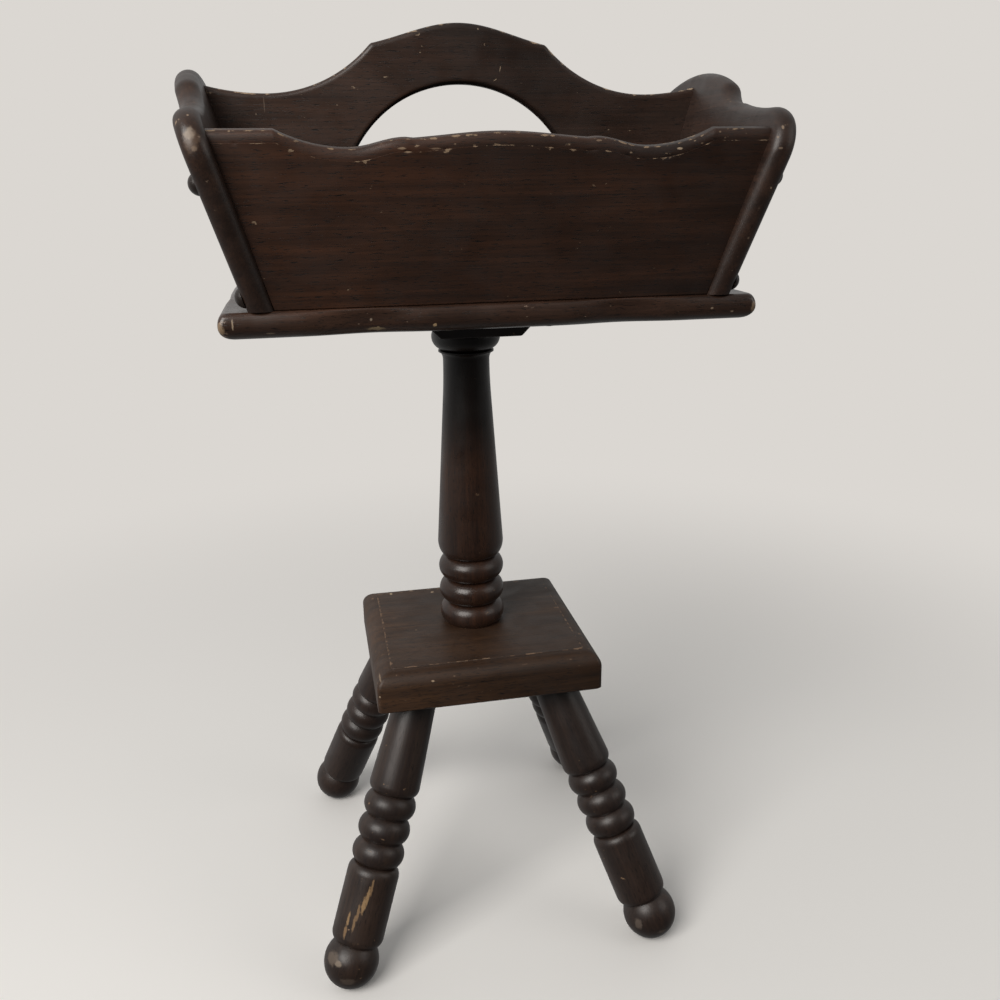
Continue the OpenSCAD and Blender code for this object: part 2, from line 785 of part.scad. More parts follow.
module left_buttons() {
    color(dark_walnut) mirror([1, 0, 0]) right_side_buttons();
}

// Middle of a leaning board's thickness over the base, for a screw's bite
bite = (base_screw_length - base_thickness) / 2;
panel_bite_y = floor_depth / 2 - panel_thickness / 2 / cos(panel_splay) + tan(panel_splay) * bite;
end_bite_x = floor_length / 2 + end_thickness / 2 / cos(end_splay) + tan(end_splay) * bite;

// Children at each screw up through the base board
module base_screw_places() {
    for (sx = [-1, 1]) {
        for (sy = [-1, 1])
            translate([sx * panel_screw_spacing / 2, sy * panel_bite_y, base_bottom]) children();
        translate([sx * divider_screw_spacing / 2, 0, base_bottom]) children();
        for (sy = [-1, 1])
            translate([sx * end_bite_x, sy * end_screw_spacing / 2, base_bottom]) children();
    }
}

module base_screws() {
    color(steel) base_screw_places() wood_screw(base_screw_length);
}

// Children at each screw up through the cleat
module cleat_screw_places() {
    for (sx = [-1, 1], sy = [-1, 1])
        translate([sx * cleat_screw_gauge / 2, sy * cleat_screw_spacing / 2, cleat_bottom]) children();
}

module cleat_screws() {
    color(steel) cleat_screw_places() wood_screw(cleat_screw_length);
}

// Children at the underside of the lag screw's washer, pointing up
module lag_place() {
    translate([0, 0, plate_height + lag_recess]) children();
}

module lag_hole(grow) {
    translate([0, 0, -over]) cylinder(h = lag_length + over, r = lag_radius + grow);
}

module lag_screw() {
    color(steel) lag_place() {
        translate([0, 0, -washer_thickness]) cylinder(h = lag_length + washer_thickness - over, r = lag_radius);
        translate([0, 0, -washer_thickness - lag_head_height])
            cylinder(h = lag_head_height, r = lag_radius * 1.8, $fn = 6);
    }
}

module lag_washer() {
    color(steel) lag_place() translate([0, 0, -washer_thickness]) difference() {
        cylinder(h = washer_thickness, r = washer_radius);
        translate([0, 0, -over]) cylinder(h = washer_thickness + over * 2, r = lag_radius + fit);
    }
}

base_board();
left_end_board();
right_end_board();
front_panel();
back_panel();
divider();
cleat();
post();
plate();
front_left_leg();
front_right_leg();
back_left_leg();
back_right_leg();
left_buttons();
right_buttons();
left_end_screws();
right_end_screws();
base_screws();
cleat_screws();
lag_screw();
lag_washer();
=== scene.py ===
# Bible stand: an open book trough with a handle divider, on a cleat, a turned
# post, a small plate and four splayed turned legs. Stained and lacquered wood,
# glued and screwed. The origin is on the floor under the post, +Z up, -Y front.
from contextlib import contextmanager
from math import asin, atan, atan2, cos, copysign, degrees, dist, exp, hypot, pi, radians, sin, sqrt, tan, tau
import bmesh
import bpy
from mathutils import Matrix, Vector, geometry, noise


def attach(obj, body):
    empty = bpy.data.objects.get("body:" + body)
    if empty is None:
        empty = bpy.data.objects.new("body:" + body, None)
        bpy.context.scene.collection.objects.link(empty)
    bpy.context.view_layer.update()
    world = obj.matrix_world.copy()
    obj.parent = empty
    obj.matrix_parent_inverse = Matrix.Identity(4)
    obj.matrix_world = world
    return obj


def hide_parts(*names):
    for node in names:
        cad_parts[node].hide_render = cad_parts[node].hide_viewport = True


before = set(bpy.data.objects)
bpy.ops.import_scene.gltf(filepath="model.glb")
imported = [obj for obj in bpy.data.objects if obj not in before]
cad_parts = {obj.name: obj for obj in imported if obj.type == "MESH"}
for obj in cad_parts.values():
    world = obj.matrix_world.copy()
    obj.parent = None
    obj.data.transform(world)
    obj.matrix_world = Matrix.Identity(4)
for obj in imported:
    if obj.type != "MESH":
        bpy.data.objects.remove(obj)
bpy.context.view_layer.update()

mm = 0.001


# ------------------------------------------------------------------ studio
# Where the stand is shown: a pale paper sweep that turns up into a wall all
# round, one large soft lamp at the left and a weak one at the right. The camera
# stands left of the front, just under the trough's rim, and looks down a little.
camera_place = (-0.1325, -0.8033, 0.6647)
camera_yaw, camera_pitch, camera_roll = (radians(a) for a in (11.303, 18.843, -0.765))
focal_share = 0.9503  # focal length over the frame's width
sensor_mm = 36
sweep_hole, sweep_flat, sweep_bend, sweep_top, sweep_sides = 0.05, 2.2, 1.3, 5.0, 96
paper_colour, backdrop_colour = "#f6f5f3", "#dbd7d2"
fade_start, fade_end = 0.25, 1.4
lamp_colour, sky_colour = "#fffbf6", "#edecea"
lamps_aim = Vector((0, 0, 0.55))


def linear(code):
    """sRGB hex colour as linear red, green, blue and alpha."""
    parts = [int(code[i:i + 2], 16) / 255 for i in (1, 3, 5)]
    return (*[c / 12.92 if c <= 0.04045 else ((c + 0.055) / 1.055) ** 2.4 for c in parts], 1.0)


def add(tree, kind, inputs=None, **settings):
    """Adds one node with its settings; an input takes a value or another node's output."""
    node = tree.nodes.new(kind)
    for name, value in settings.items():
        setattr(node, name, value)
    for name, value in (inputs or {}).items():
        if isinstance(value, bpy.types.NodeSocket):
            tree.links.new(value, node.inputs[name])
        else:
            node.inputs[name].default_value = value
    return node


def ranged(tree, value, start, stop, low=0.0, high=1.0, kind="LINEAR"):
    """A value taken from one range to another."""
    return add(tree, "ShaderNodeMapRange", {
        "Value": value, "From Min": start, "From Max": stop, "To Min": low, "To Max": high},
        interpolation_type=kind).outputs["Result"]


def maths(tree, kind, *values):
    """One step of arithmetic."""
    return add(tree, "ShaderNodeMath", dict(enumerate(values)), operation=kind).outputs[0]


def steps(start, stop, count):
    """Evenly spaced numbers from start to stop, both included."""
    return [start + (stop - start) * i / count for i in range(count + 1)]


def ring_shell(name, rings):
    """Closed mesh through rings of equally many points, with a face over each end."""
    count = len(rings[0])
    faces = [
        (r + i, r + (i + 1) % count, r + count + (i + 1) % count, r + count + i)
        for r in range(0, (len(rings) - 1) * count, count) for i in range(count)
    ]
    last = (len(rings) - 1) * count
    faces += [tuple(reversed(range(count))), tuple(range(last, last + count))]
    mesh = bpy.data.meshes.new(name)
    mesh.from_pydata([p for ring in rings for p in ring], [], faces)
    return mesh


@contextmanager
def edited(mesh):
    """Opens a mesh for editing and writes it back."""
    bm = bmesh.new()
    bm.from_mesh(mesh)
    yield bm
    bm.to_mesh(mesh)
    bm.free()


def place_piece(name, mesh):
    """Puts a mesh into the scene as an object at the origin."""
    piece = bpy.data.objects.new(name, mesh)
    bpy.context.scene.collection.objects.link(piece)
    return piece


camera_data = bpy.data.cameras.new("camera")
camera_data.sensor_width = sensor_mm
camera_data.lens = focal_share * sensor_mm
camera = place_piece("camera", camera_data)
camera.matrix_world = (
    Matrix.Translation(camera_place) @ Matrix.Rotation(-camera_yaw, 4, "Z")
    @ Matrix.Rotation(pi / 2 - camera_pitch, 4, "X") @ Matrix.Rotation(camera_roll, 4, "Z"))
bpy.context.scene.camera = camera

sweep_line = [(sweep_hole, 0)] + [
    (sweep_flat + sweep_bend * sin(a), sweep_bend * (1 - cos(a))) for a in steps(0, pi / 2, 15)
] + [(sweep_flat + sweep_bend, sweep_top)]
sweep_mesh = ring_shell("paper_sweep", [
    [(r * cos(a), r * sin(a), z) for a in steps(0, tau, sweep_sides)[:-1]] for r, z in sweep_line])
with edited(sweep_mesh) as bm:
    bm.faces.ensure_lookup_table()
    bmesh.ops.delete(bm, geom=[bm.faces[-1]], context="FACES_ONLY")
    bmesh.ops.reverse_faces(bm, faces=bm.faces)
sweep_mesh.shade_smooth()
sweep = place_piece("paper_sweep", sweep_mesh)
# Only the camera sees the sweep, so the room's light reaches the stand evenly
sweep.visible_diffuse = sweep.visible_glossy = sweep.visible_shadow = False

paper = bpy.data.materials.new("paper_seamless_matt")
paper.use_nodes = True
tree = paper.node_tree
where = add(tree, "ShaderNodeTexCoord").outputs["Object"]
matt = tree.nodes["Principled BSDF"]
matt.inputs["Base Color"].default_value = linear(paper_colour)
matt.inputs["Roughness"].default_value = 0.9
matt.inputs["Specular IOR Level"].default_value = 0.2
# Away from the stand the paper shows its plain colour, however little light it gets
far = add(tree, "ShaderNodeVectorMath", {0: where}, operation="LENGTH").outputs["Value"]
fade = ranged(tree, far, fade_start, fade_end, kind="SMOOTHSTEP")
plain = add(tree, "ShaderNodeEmission", {"Color": linear(backdrop_colour), "Strength": 1.0})
blend = add(tree, "ShaderNodeMixShader", {0: fade, 1: matt.outputs[0], 2: plain.outputs[0]})
tree.links.new(blend.outputs[0], tree.nodes["Material Output"].inputs["Surface"])
sweep_mesh.materials.append(paper)

world = bpy.data.worlds.new("soft_room_light")
bpy.context.scene.world = world
world.use_nodes = True
tree = world.node_tree
direction = add(tree, "ShaderNodeTexCoord").outputs["Generated"]
way = add(tree, "ShaderNodeSeparateXYZ", {"Vector": direction}).outputs
# Dimmer below than above, behind the camera than behind the stand, and right than left
above = ranged(tree, way["Z"], -0.6, 0.7, 0.35, 0.75)
behind = ranged(tree, way["Y"], -0.8, 0.6, 0.16, 0.95)
window = ranged(tree, way["X"], -0.8, 0.8, 1.1, 0.7)
level = maths(tree, "MULTIPLY", maths(tree, "MULTIPLY", above, behind), window)
tree.nodes["Background"].inputs["Color"].default_value = linear(sky_colour)
tree.links.new(level, tree.nodes["Background"].inputs["Strength"])

for name, place, size, energy in (
    ("left_lamp", (-1.35, -1.35, 1.75), 1.5, 46.0),
    ("right_lamp", (2.2, -1.2, 1.6), 1.6, 9.0),
):
    data = bpy.data.lights.new(name, "AREA")
    data.shape = "SQUARE"
    data.size = size
    data.energy = energy
    data.color = linear(lamp_colour)[:3]
    lamp = place_piece(name, data)
    lamp.location = place
    lamp.rotation_euler = (lamps_aim - lamp.location).to_track_quat("-Z", "Y").to_euler()

bpy.context.scene.view_settings.view_transform = "Standard"


# -------------------------------------------------------------- base board
# Bottom of the trough: one board with a rounded edge all round and a shallow
# dip at each side of the middle of every edge. Sawn, shaped with a router,
# stained a dark walnut brown and lacquered. Ten screws go up through it.
plate_top = 271 * mm
cleat_bottom = 546 * mm
base_bottom = 563.5 * mm
base_top = 581.5 * mm
base_half_length, base_half_depth = 190 * mm, 155 * mm
base_nose, base_top_round = 9 * mm, 5 * mm
dip_depth = 5 * mm
front_lobe, front_corner = 45 * mm, 50 * mm
end_lobe, end_corner = 15 * mm, 65 * mm
base_corner_round = 4 * mm
outline_step = 3 * mm
margin = 0.6 * mm  # flat strip that keeps a rounding's shading off the face beside it
edge_wear, tip_wear, tip_reach = 0.12, 0.95, 7 * mm
sink_mouth, sink_end, sink_depth = 4.4 * mm, 2.0 * mm, 3.0 * mm
pore_colour = "#120b08"
worn_from, worn_full = 0.72, 0.79  # where the lifted blotchy noise starts and ends baring the wood
pore_relief, worn_relief = -1.0, -0.8


def mixed(tree, share, one, other, kind="MIX"):
    """Two colours mixed by a share from 0 to 1."""
    mix = add(tree, "ShaderNodeMix", {0: share, 6: one, 7: other}, data_type="RGBA", blend_type=kind)
    return mix.outputs[2]


def stained_wood(name, light, middle, dark, gloss=0.40, bare="#8b6f55", rubbed=1.0, spots=(),
                 fade=("X", 0, 1, 1, 1), coat=0.18):
    """Stained wood under satin lacquer, the grain along X of the mesh's own 'grain'
    attribute. A point attribute says where hands and years have worn the edges, and
    below 0 where shade is painted into the colour; 'rubbed' scales the wear. Spots are
    chips and flecks in millimetres: (place, half sizes, strength, colour, way of the
    height if it isn't up). The fade paints light and shade: it scales the colour by
    (axis, two places, its level at each)."""
    material = bpy.data.materials.new(name)
    material.use_nodes = True
    tree = material.node_tree
    shader = tree.nodes["Principled BSDF"]
    grain = add(tree, "ShaderNodeAttribute", attribute_name="grain").outputs["Vector"]
    wear_and_shade = add(tree, "ShaderNodeAttribute", attribute_name="wear_and_shade").outputs["Fac"]
    where = add(tree, "ShaderNodeTexCoord").outputs["Object"]
    # Length and width of one figure, streak, pore and so on, in millimetres
    pattern = {}
    for label, source, size, detail, warp in (
        ("figure", grain, (160, 13, 13), 4.0, 0.8),
        ("streak", grain, (70, 1.7, 1.7), 3.0, 0.3),
        ("pore", grain, (7, 0.55, 0.55), 1.0, 0.0),
        ("stain", where, (120, 120, 120), 2.0, 0.4),
        ("smear", where, (30, 22, 26), 3.0, 0.5),
        ("chip", where, (7, 4, 4), 4.0, 0.2),
        ("ragged", where, (2.4, 2.4, 2.4), 2.0, 0.0),
    ):
        scaled = add(tree, "ShaderNodeMapping", {"Vector": source, "Scale": [1 / (s * mm) for s in size]})
        pattern[label] = add(tree, "ShaderNodeTexNoise", {
            "Vector": scaled.outputs["Vector"], "Scale": 1.0, "Detail": detail,
            "Distortion": warp}).outputs["Fac"]
    tone = maths(tree, "MULTIPLY", pattern["figure"], 0.6)
    tone = maths(tree, "MULTIPLY_ADD", pattern["streak"], 0.4, tone)
    ramp = add(tree, "ShaderNodeValToRGB", {"Fac": tone})
    stops = ramp.color_ramp.elements
    stops[0].position, stops[0].color = 0.30, linear(dark)
    stops[1].position, stops[1].color = 0.70, linear(light)
    stops.new(0.5).color = linear(middle)
    patchy = ranged(tree, pattern["stain"], 0.3, 0.7, 0.72, 1.24)
    colour = mixed(tree, 1.0, ramp.outputs["Color"], patchy, "MULTIPLY")
    # Painted light and shade: the colour grows lighter or darker along one axis
    axis, start, stop, first, last = fade
    reach = add(tree, "ShaderNodeSeparateXYZ", {"Vector": where}).outputs[axis]
    colour = mixed(tree, 1.0, colour, ranged(tree, reach, start, stop, first, last), "MULTIPLY")
    pores = ranged(tree, pattern["pore"], 0.60, 0.70, kind="SMOOTHSTEP")
    colour = mixed(tree, pores, colour, linear(pore_colour))
    # Painted shade: a value below 0 darkens the colour, to 0.12 of it at -1
    colour = mixed(tree, 1.0, colour, ranged(tree, wear_and_shade, -1.0, 0.0, 0.12), "MULTIPLY")
    # Edge wear: the wear value lifts a blotchy noise over its threshold
    lifted = maths(tree, "MULTIPLY_ADD", wear_and_shade, 0.20 * rubbed, pattern["chip"])
    bared = ranged(tree, lifted, worn_from, worn_full, kind="SMOOTHSTEP")
    colour = mixed(tree, bared, colour, linear(bare))
    upwards = Vector((0, 0, 1))
    for place, half, strength, shade, *way in spots:
        local = add(tree, "ShaderNodeMapping", {
            "Vector": where, "Location": [p * mm for p in place], "Scale": [h * mm for h in half],
            "Rotation": upwards.rotation_difference(Vector(way[0]) if way else upwards).to_euler()},
            vector_type="TEXTURE")
        away = add(tree, "ShaderNodeVectorMath", {0: local.outputs["Vector"]}, operation="LENGTH")
        rim = maths(tree, "MULTIPLY_ADD", pattern["ragged"], 0.9, away.outputs["Value"])
        mask = ranged(tree, rim, 1.5, 1.0, 0.0, strength, "SMOOTHSTEP")
        colour = mixed(tree, mask, colour, linear(shade))
        bared = maths(tree, "MAXIMUM", bared, mask)
    tree.links.new(colour, shader.inputs["Base Color"])
    sheen = ranged(tree, pattern["smear"], 0.3, 0.7, gloss - 0.07, gloss + 0.10)
    tree.links.new(maths(tree, "MULTIPLY_ADD", bared, 0.25, sheen), shader.inputs["Roughness"])
    relief = maths(tree, "MULTIPLY_ADD", pores, pore_relief, pattern["streak"])
    relief = maths(tree, "MULTIPLY_ADD", bared, worn_relief, relief)
    bump = add(tree, "ShaderNodeBump", {"Height": relief, "Strength": 0.35, "Distance": 0.12 * mm})
    tree.links.new(bump.outputs["Normal"], shader.inputs["Normal"])
    shader.inputs["IOR"].default_value = 1.5
    shader.inputs["Coat Weight"].default_value = coat
    shader.inputs["Coat Roughness"].default_value = 0.28
    shader.inputs["Coat IOR"].default_value = 1.5
    return material


def write_wear_and_shade(mesh, values):
    """Stores how worn each point is, from 0 to 1, or below 0 for painted shade."""
    mesh.attributes.new("wear_and_shade", "FLOAT", "POINT").data.foreach_set("value", values)


def lay_grain(mesh, along, across, shift):
    """Stores each point's place in its own timber: along, across and through the grain."""
    along, across = Vector(along).normalized(), Vector(across).normalized()
    ways = (along, across, along.cross(across))
    values = [v.co.dot(way) + s for v in mesh.vertices for way, s in zip(ways, shift)]
    mesh.attributes.new("grain", "FLOAT_VECTOR", "POINT").data.foreach_set("vector", values)


def settle(mesh, sharp=38):
    """Turns every face outwards and shades it smooth, but for edges sharper than the angle."""
    with edited(mesh) as bm:
        bmesh.ops.recalc_face_normals(bm, faces=bm.faces)
    mesh.shade_smooth()
    mesh.set_sharp_from_angle(angle=radians(sharp))


def finish_wood(mesh, wood, along, across, shift):
    """Settles a piece's mesh, lays its grain and gives it its wood."""
    settle(mesh)
    lay_grain(mesh, along, across, shift)
    mesh.materials.clear()
    mesh.materials.append(wood)


def evaluated(piece):
    """Turns a piece's modifiers into plain mesh and takes them off."""
    graph = bpy.context.evaluated_depsgraph_get()
    mesh = bpy.data.meshes.new_from_object(
        piece.evaluated_get(graph), preserve_all_data_layers=True, depsgraph=graph)
    piece.modifiers.clear()
    piece.data = mesh
    return mesh


def cut_away(piece, shape):
    """Cuts a closed shape, an open bmesh, out of a piece."""
    mesh = bpy.data.meshes.new("cutter")
    shape.to_mesh(mesh)
    shape.free()
    cutter = place_piece("cutter", mesh)
    cut = piece.modifiers.new("cut", "BOOLEAN")
    cut.object, cut.operation, cut.solver = cutter, "DIFFERENCE", "EXACT"
    mesh = evaluated(piece)
    bpy.data.objects.remove(cutter)
    return mesh


def drill(piece, places, bottom, mouth, end, depth):
    """Cuts round holes up from a height, with a radius at the mouth and at the end."""
    over = 0.5 * mm
    holes = bmesh.new()
    for x, y in places:
        bmesh.ops.create_cone(
            holes, cap_ends=True, segments=40, radius1=mouth + (mouth - end) / depth * over, radius2=end,
            depth=depth + over, matrix=Matrix.Translation((x, y, bottom + (depth - over) / 2)))
    return cut_away(piece, holes)


def dip(s, lobe, corner):
    """Depth of the edge's dip at a distance from its middle."""
    a = abs(s)
    if a <= lobe or a >= corner:
        return 0.0
    return dip_depth * (1 - cos(tau * (a - lobe) / (corner - lobe))) / 2


def base_line(share):
    """The base board's outline in plan, with a share of its dips."""
    line = []
    for quarter in range(4):
        half, reach, lobe, corner = (
            (base_half_length, base_half_depth, front_lobe, base_half_length - front_corner),
            (base_half_depth, base_half_length, end_lobe, base_half_depth - end_corner))[quarter % 2]
        run = half - base_corner_round
        side = [(s, share * dip(s, lobe, corner) - reach)
                for s in steps(-run, run, round(2 * run / outline_step))]
        side += [
            (run + base_corner_round * cos(a), base_corner_round * (1 + sin(a)) - reach)
            for a in steps(radians(-75), radians(-15), 4)]
        turn = Matrix.Rotation(pi / 2 * quarter, 2)
        line += [tuple(turn @ Vector(p)) for p in side]
    return line


base_rings, base_rub = [], []
base_profile = [(base_nose + margin, -base_nose, -90)]
base_profile += [
    ((base_top_round if a > 0 else base_nose) * (1 - cos(radians(a))), base_nose * sin(radians(a)), a)
    for a in steps(-90, 90, 16)]
base_profile += [(base_top_round + margin, base_nose, 90)]
for inset, rise, angle in base_profile:
    # The dips fade out towards the top, so the boards above stand on flat wood
    base_outline = base_line(1 - max(0, sin(radians(angle))) ** 2)
    outwards = max(0, cos(radians(angle))) ** 2
    wide = (base_half_length - inset) / base_half_length
    deep = (base_half_depth - inset) / base_half_depth
    base_rings.append([(x * wide, y * deep, base_bottom + base_nose + rise) for x, y in base_outline])
    for x, y in base_outline:
        tip = hypot(base_half_length - abs(x), base_half_depth - abs(y))
        base_rub.append(outwards * (edge_wear + tip_wear * exp(-(tip / tip_reach) ** 2)))
base_mesh = ring_shell("trough_base", base_rings)
write_wear_and_shade(base_mesh, base_rub)
trough_base = place_piece("trough_base", base_mesh)
# Chips and flecks: place, half sizes, strength and colour
base_spots = (
    ((-46.4, -154.4, 568.6), (1.9, 2, 1.6), 0.9, "#c2a47c"),
    ((-86.2, -149.5, 567), (7, 4, 1.7), 0.7, "#a5906f"),
    ((-89.3, -150, 573.5), (1, 2, 1.2), 0.7, "#9a8a78"),
    ((-180, -154, 574.5), (0.8, 3, 4.2), 0.8, "#a8937b"),
    ((-156.5, -154, 567.6), (3.8, 3, 0.6), 0.6, "#8d7b69"),
    ((79.6, -149.8, 576.5), (1.3, 2, 0.9), 0.7, "#9a8570"),
    ((154.7, -154.9, 572.5), (1.4, 2, 0.9), 0.7, "#9a8570"),
    ((170.4, -154.7, 569.5), (1.4, 2, 0.9), 0.7, "#9a8570"),
    ((-188.5, -154, 571), (3.5, 3.5, 6), 0.7, "#9c8468"),
    ((188, -154, 572), (3.5, 3.5, 5.5), 0.6, "#927b62"),
)
# [x, y] of the ten countersunk screws, as in the CAD
base_screw_spots = [(sx * 36 * mm, sy * 144.85 * mm) for sx in (-1, 1) for sy in (-1, 1)]
base_screw_spots += [(sx * 100 * mm, 0) for sx in (-1, 1)]
base_screw_spots += [(sx * 163.08 * mm, sy * 90 * mm) for sx in (-1, 1) for sy in (-1, 1)]
base_mesh = drill(trough_base, base_screw_spots, base_bottom, sink_mouth, sink_end, sink_depth)
# The fade is painted light: the board's colour is lighter towards its left end
finish_wood(base_mesh, stained_wood(
    "walnut_stained_lacquered_base", light="#483126", middle="#35241b", dark="#231713", gloss=0.27,
    bare="#8d7766", spots=base_spots, fade=("X", -0.15, 0.0, 1.5, 0.9), coat=0.5),
    (1, 0, 0), (0, 1, 0), (0.3, 0.1, 0.0))
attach(trough_base, "root")
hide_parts("base_board")


# -------------------------------------------------------------- end boards
# The trough's two ends lean outwards and stand on the base board. Each is one
# board with rounded ears, a hump in the middle and a fully rounded free edge,
# sawn and shaped like the base, and screwed up into from below.
end_lean = radians(15.6)
floor_half_length = 152.3 * mm
edge_foot = 154.0 * mm
edge_lean = atan(sin(end_lean))
end_thickness, end_nose = 17 * mm, 7 * mm
ear_rise, ear_radius, scoop_rise = 132 * mm, 27 * mm, 6.5 * mm
hump_half, hump_shoulder, hump_foot = 62 * mm, 16 * mm, 40 * mm
flank, crown = 49, 21  # steepness of the hump's flank and at its crown's ends, degrees
end_wear, ear_wear, ear_wear_rise = 0.10, 0.35, 120 * mm


def arc(centre, radius, start, end, count):
    """Points on a circle between two angles in degrees, both included."""
    return [(centre[0] + radius * cos(radians(a)), centre[1] + radius * sin(radians(a)))
            for a in steps(start, end, count)]


def inner_face(rise):
    """Distance from the middle to an end board's inner face at a height over the floor."""
    return floor_half_length + tan(end_lean) * rise


def drawn_in(points, distance, closed=False):
    """An outline moved to its left, square to itself."""
    moved, count = [], len(points)
    for i, p in enumerate(points):
        a = points[i - 1] if closed or i else p
        b = points[(i + 1) % count] if closed or i < count - 1 else p
        length = hypot(b[0] - a[0], b[1] - a[1])
        moved.append((p[0] - distance * (b[1] - a[1]) / length, p[1] + distance * (b[0] - a[0]) / length))
    return moved


def cut_level(bm, height, keep_above=True, fill=False):
    """Cuts a shape off level at a height."""
    bmesh.ops.bisect_plane(
        bm, geom=bm.verts[:] + bm.edges[:] + bm.faces[:], plane_co=(0, 0, height), plane_no=(0, 0, 1),
        clear_inner=keep_above, clear_outer=not keep_above)
    if fill:
        bmesh.ops.holes_fill(bm, edges=[e for e in bm.edges if e.is_boundary], sides=0)


# Half the outline, from its open foot over the ear, the scoop and the hump to the middle
low = -end_thickness
ear_centre_rise = ear_rise - ear_radius
ear_x = -edge_foot + (ear_radius - ear_centre_rise * sin(edge_lean)) / cos(edge_lean)
flank_in, flank_up = sin(radians(flank)), cos(radians(flank))
crown_in, crown_up = sin(radians(crown)), cos(radians(crown))
foot_centre = (
    -hump_half - hump_shoulder * (flank_in - crown_in) - hump_foot * flank_in,
    ear_rise + scoop_rise + hump_foot)
shoulder_reach = hump_foot + hump_shoulder
shoulder_centre = (foot_centre[0] + shoulder_reach * flank_in, foot_centre[1] - shoulder_reach * flank_up)
crown_radius = hump_half / crown_in
crown_centre = (0, shoulder_centre[1] - (crown_radius - hump_shoulder) * crown_up)
end_half = [(-edge_foot - low * tan(edge_lean), low)]
end_half += arc((ear_x, ear_centre_rise), ear_radius, 180 + degrees(edge_lean), 90, 26)
end_half += [(ear_x + (foot_centre[0] - ear_x) * t, ear_rise + scoop_rise * t * t)
             for t in steps(0, 1, 5)[1:]]
end_half += arc(foot_centre, hump_foot, -90, flank - 90, 12)[1:]
end_half += arc(shoulder_centre, hump_shoulder, 90 + flank, 90 + crown, 10)[1:]
end_half += arc(crown_centre, crown_radius, 90 + crown, 90, 16)[1:]
end_outline = [(-p[0], p[1]) for p in end_half] + end_half[-2::-1]
# Thickness to x, depth to y and rise to z, then leant outwards on the base board
right_end_frame = (
    Matrix.Translation((floor_half_length, 0, base_top)) @ Matrix.Rotation(end_lean, 4, "Y")
    @ Matrix(((0, 0, 1, 0), (1, 0, 0, 0), (0, 1, 0, 0), (0, 0, 0, 1))))
mirror_x = Matrix.Diagonal((-1, 1, 1, 1))

end_spots = {
    "left_end": (
        # The first spot is a worn patch on the ear with a painted highlight in its whitish middle
        ((-191.5, -180, 691), (3.6, 4.5, 5), 0.6, "#b3a594"),
        ((-191, -180, 687.5), (5.5, 5.5, 9), 0.35, "#7d6552"),
        ((-189.5, -181, 682), (2.2, 3, 2), 0.5, "#8d7762"),
        ((-192, -171, 701.5), (1, 1, 1), 0.6, "#a8937b"),
    ),
    "right_end": (
        ((187.6, -177.4, 693), (1, 1.5, 1.8), 0.6, "#a08a74"),
        ((184, -178.5, 686.7), (0.8, 1.2, 1), 0.5, "#9a8570"),
        ((185.6, -180.8, 679.7), (1.6, 2, 0.7), 0.45, "#97826d"),
        ((183.6, -175, 654.5), (0.8, 1, 0.9), 0.7, "#a8937b"),
    ),
}
end_profile = [(-90, end_nose + margin)] + [
    (a, end_nose * (1 - cos(radians(a)))) for a in steps(-90, 90, 16)] + [(90, end_nose + margin)]
for name, node, frame_matrix, shift in (
    ("left_end", "left_end_board", mirror_x @ right_end_frame, (1.1, 0.7, 0.2)),
    ("right_end", "right_end_board", right_end_frame, (2.3, 0.4, 0.5)),
):
    rings, wear_and_shade = [], []
    for angle, inset in end_profile:
        through = end_thickness / 2 * (1 + sin(radians(angle)))
        ring = [frame_matrix @ Vector((y, rise, through)) for y, rise in drawn_in(end_outline, inset)]
        rings.append(ring)
        for p in ring:
            high = min(1, max(0, (p.z - base_top) / ear_wear_rise))
            wear_and_shade.append(cos(radians(angle)) ** 2 * (end_wear + ear_wear * high ** 2))
    mesh = ring_shell(name, rings)
    write_wear_and_shade(mesh, wear_and_shade)
    with edited(mesh) as bm:
        cut_level(bm, base_top, fill=True)
    finish_wood(mesh, stained_wood(
        "walnut_stained_lacquered_" + name, light="#3f2c22", middle="#30211a", dark="#211611", gloss=0.38,
        bare="#8b7663", rubbed=0.85, spots=end_spots[name], coat=0.05),
        (0, 1, 0), (0, 0, 1), shift)
    piece = place_piece(name, mesh)
    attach(piece, "root")
    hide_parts(node)


# ------------------------------------------------------------------ panels
# Front and back of the trough: thin boards that lean outwards between the end
# boards. The shaped top edge has a rounding over a small step on the outside,
# cut with a thumbnail bit; its arrises are chipped and rubbed pale.
panel_lean = radians(12)
floor_half_depth = 149.5 * mm
panel_thickness = 12 * mm
corner_height, dip_height, point_height, middle_height = 113 * mm, 101.7 * mm, 107.6 * mm, 111.1 * mm
break_at, dip_at, point_at = 143.4 * mm, 98 * mm, 62 * mm
point_width, point_dip = 5 * mm, 0.5 * mm
thumb_height, thumb_depth, thumb_step = 7.0 * mm, 5.2 * mm, 0.7 * mm
inner_round = 2.5 * mm
foot_bevel = 0.8 * mm
ragged_length, ragged_from, ragged_depth = 5 * mm, 0.38, 1.1 * mm
# Wear over the rounding: everywhere, and more about an angle in degrees
thumb_wear, crest_wear, crest_at, crest_width = 0.22, 0.75, 72, 13


def sweep_up(run, rise, s):
    """Height of a circular sweep of a given run and rise, at part of its run."""
    r = (run * run + rise * rise) / (2 * rise)
    return r - sqrt(r * r - s * s)


def arch(t):
    """Flat arch between a parabola and a cosine, 1 in the middle and 0 at t = 1."""
    return 0.5 * (1 - t * t) + 0.25 * (1 + cos(pi * t))


def panel_top(x):
    """Height of the panel's top edge, measured up the panel."""
    x, inside = abs(x), point_at - point_width
    if x <= inside:
        return point_height - point_dip + (middle_height - point_height + point_dip) * arch(x / inside)
    if x <= point_at:
        return point_height - point_dip * (point_at - x) / point_width
    if x <= dip_at:
        wave = cos(pi * (x - point_at) / (dip_at - point_at))
        return dip_height + (point_height - dip_height) * (1 + wave) / 2
    if x <= break_at:
        return dip_height + sweep_up(break_at - dip_at, corner_height - dip_height, x - dip_at)
    return corner_height


